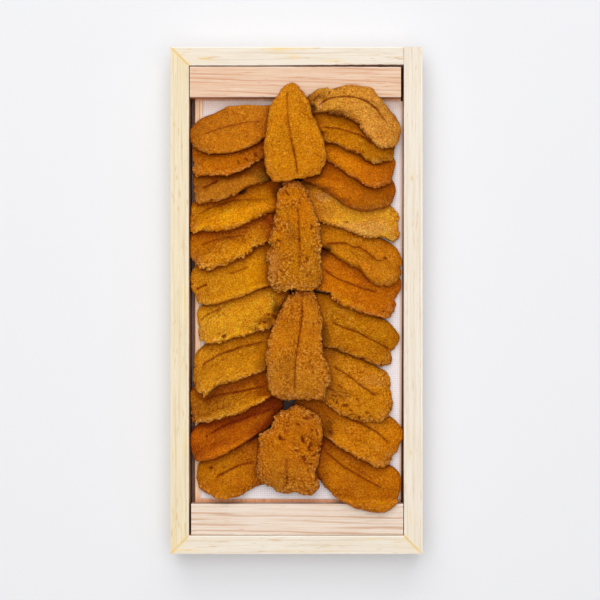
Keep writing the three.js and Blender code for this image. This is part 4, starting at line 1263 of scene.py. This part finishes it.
def underside(lobe, angle, sheet):
    """Rings from the rim in towards the middle, where the lobe lies on what is below it."""
    rim = np.array(grid_rim(CELLS_ALONG, CELLS_ACROSS))
    reach = rim_reach(lobe, angle[rim])
    rings, shell, faces = [rim], [], []
    count = len(angle)
    for near, skip in UNDER_RINGS:
        turn, size = angle[rim][::skip], near * reach[::skip]
        places = to_plan(lobe, size * np.cos(turn), size * np.sin(turn))
        inside_frame(places)
        curl = lobe["plan"][9] * edge_share(lobe, turn) * (1 - math.sqrt(1 - near ** CURL_POWER))
        curl = curl + lower_lip(lobe, np.full(len(turn), near), turn)
        shell.append(np.column_stack([places, height_at(sheet, places) + GAP + curl]))
        rings.append(count + np.arange(len(turn)))
        count += len(turn)
    middle = to_plan(lobe, np.zeros(1), np.zeros(1))
    shell.append(np.column_stack([middle, height_at(sheet, middle) + GAP]))
    for outer, inner in zip(rings[:-1], rings[1:]):
        step = len(outer) // len(inner)
        for spot in range(len(inner)):
            here, after = inner[spot], inner[(spot + 1) % len(inner)]
            if step == 1:
                faces.append((outer[spot], here, after, outer[(spot + 1) % len(outer)]))
                continue
            for part in range(step):
                a, b = outer[spot * step + part], outer[(spot * step + part + 1) % len(outer)]
                faces.append((a, here if part < step // 2 else after, b))
            faces.append((outer[spot * step + step // 2], here, after))
    last = rings[-1]
    faces += [(last[spot], count, last[(spot + 1) % len(last)]) for spot in range(len(last))]
    return np.concatenate(shell), faces


def crumb_spots(lobe, points, near_edge):
    """Which points of the lobe carry a loose grain: some along its lower edge, more at rough places."""
    order = lattice_random(np.arange(len(points)), lobe["seed"] + 40)
    order = np.minimum(order + 0.7 * smoothstep(0.1, -0.1, smooth_noise(points, 4.0, lobe["seed"] + 43)), 1.5)
    chosen = []
    zones = [(near_edge > 0.5 * lobe["crumb"], int(CRUMBS_A_LOBE * lobe["crumb"]))]
    for x, y, reach, count in lobe.get("rough", []):
        zones.append((np.hypot(points[:, 0] - x, points[:, 1] - y) < reach, count))
    for inside, count in zones:
        chosen += list(np.argsort(np.where(inside, order, 2))[:min(count, int(inside.sum()))])
    return np.unique(np.array(chosen, int))


def build_crumbs(laid, tints, material):
    """Loose grains of roe along the torn edges, as one mesh of small lumps."""
    shape = bmesh.new()
    bmesh.ops.create_icosphere(shape, subdivisions=2, radius=1)
    ball = np.array([vertex.co[:] for vertex in shape.verts])
    ball_faces = np.array([[vertex.index for vertex in face.verts] for face in shape.faces])
    shape.free()
    all_points, all_faces, all_tints = [], [], []
    for (lobe, points, marks, _, _), colours in zip(laid, tints):
        for spot in crumb_spots(lobe, points, marks["near_edge"]):
            size = CRUMB_SMALLEST + CRUMB_RANGE * lattice_random(spot, lobe["seed"] + 41) ** 2
            lump = ball * size * [1, 1, 0.8] + points[spot]
            lump += ball * (0.3 * size * smooth_noise(lump, 0.35, lobe["seed"] + 42))[:, None]
            inside_frame(lump)
            all_faces.append(ball_faces + len(ball) * len(all_points))
            all_points.append(lump)
            # Lighter at the broken edge, towards the pale colour with its painted highlight.
            tint = colours[spot] + 0.2 * marks["near_edge"][spot] * (PALE_AND_HIGHLIGHT_ROE - colours[spot])
            all_tints.append(np.tile(tint, (len(ball), 1)))
    faces = [tuple(int(corner) for corner in face) for face in np.concatenate(all_faces)]
    piece = new_object("roe_crumbs", np.concatenate(all_points), faces, material)
    add_tint(piece, np.concatenate(all_tints))
    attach(piece, "root")


def build_roe():
    """Lays the lobes from the far end of each column, and returns the height of what lies in the box."""
    field = empty_field()
    laid = []
    for column, count, turn, sag, seed in COLUMNS:
        for number in range(count, 0, -1):
            name = f"{column}_{number}"
            lobe = dict(LOBES[name], name=name, column=column, turn=turn, sag=sag, seed=seed + 100 * number)
            lobe["scale"] = outline_scale(lobe)
            laid.append((lobe, *shape_lobe(lobe, field)))
    material = roe_flesh()
    skin = grid_quads(CELLS_ALONG, CELLS_ACROSS)
    tints = []
    for lobe, points, marks, shell, shell_faces in laid:
        faces = skin + shell_faces
        if lobe["turn"] < 0:
            faces = [face[::-1] for face in faces]
        piece = new_object(f"lobe_{lobe['name']}", np.concatenate([points, shell]), faces, material)
        colours = lobe_colours(lobe, points, marks, field)
        # The underside gets painted shade.
        below = np.tile(colours.mean(0) * UNDERSIDE_SHADE, (len(shell), 1))
        add_tint(piece, np.concatenate([colours, below]))
        tints.append(colours)
        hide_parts(f"roe_{lobe['name']}")
        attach(piece, "root")
    build_crumbs(laid, tints, material)
    return field


# ---- Floor, light and camera ----

FLOOR_HALF = 3.0                                # metres
FLOOR_COLOUR = np.array([0.80, 0.807, 0.838])   # a trace of blue, as in the photo
FLOOR_DROP = 0.0002                             # keeps the floor clear of the bottom board
CAMERA_HEIGHT = 0.8                             # above the frame's top, in metres
SEEN_WIDTH = 0.2376                             # what the picture takes in at that height
CAMERA_PLACE = (0.0014, 0.0002)


def build_stage():
    """A wide matte floor."""
    corners = [(-FLOOR_HALF, -FLOOR_HALF, 0), (FLOOR_HALF, -FLOOR_HALF, 0),
               (FLOOR_HALF, FLOOR_HALF, 0), (-FLOOR_HALF, FLOOR_HALF, 0)]
    mesh = bpy.data.meshes.new("floor")
    mesh.from_pydata(corners, [], [(0, 1, 2, 3)])
    made = Nodes("floor_white")
    made.surface(FLOOR_COLOUR, 0.9, 0.0)
    mesh.materials.append(made.material)
    floor = in_scene("floor", mesh)
    floor.location.z = -FLOOR_DROP


WORLD_LIGHT = 0.38
LAMP_COLOUR = (1.0, 0.99, 0.98)
# The softboxes: where each one hangs and how wide it is, in metres, and its watts.
SOFTBOXES = [
    ("overhead", (0.0, 0.0, 1.5), 1.0, 10.0),
    ("window", (-0.15, 0.55, 1.4), 1.0, 6.0),
    ("rear", (0.0, 1.4, 1.0), 1.6, 6.0),
]


def build_light():
    """An even white surround and the softboxes, which all face the box."""
    world = bpy.data.worlds.new("studio")
    world.use_nodes = True
    background = world.node_tree.nodes["Background"]
    background.inputs["Color"].default_value = (1.0, 1.0, 1.0, 1)
    background.inputs["Strength"].default_value = WORLD_LIGHT
    bpy.context.scene.world = world
    for name, place, size, watts in SOFTBOXES:
        light = bpy.data.lights.new(name, "AREA")
        light.shape = "DISK"
        light.size = size
        light.energy = watts
        light.color = LAMP_COLOUR
        lamp = in_scene(name, light)
        lamp.location = place
        lamp.rotation_euler = (-lamp.location.normalized()).to_track_quat("-Z", "Y").to_euler()


def build_camera():
    """Straight above the box, which fills most of the height of the frame."""
    camera = bpy.data.cameras.new("camera")
    camera.type = "PERSP"
    camera.sensor_width = 36
    camera.lens = camera.sensor_width * CAMERA_HEIGHT / SEEN_WIDTH
    holder = in_scene("camera", camera)
    holder.location = (*CAMERA_PLACE, CAMERA_HEIGHT + WALL_TOP * MM)
    bpy.context.scene.camera = holder
    bpy.context.scene.view_settings.view_transform = "Standard"


build_camera()
build_wood()
build_paper(build_roe())
build_stage()
build_light()
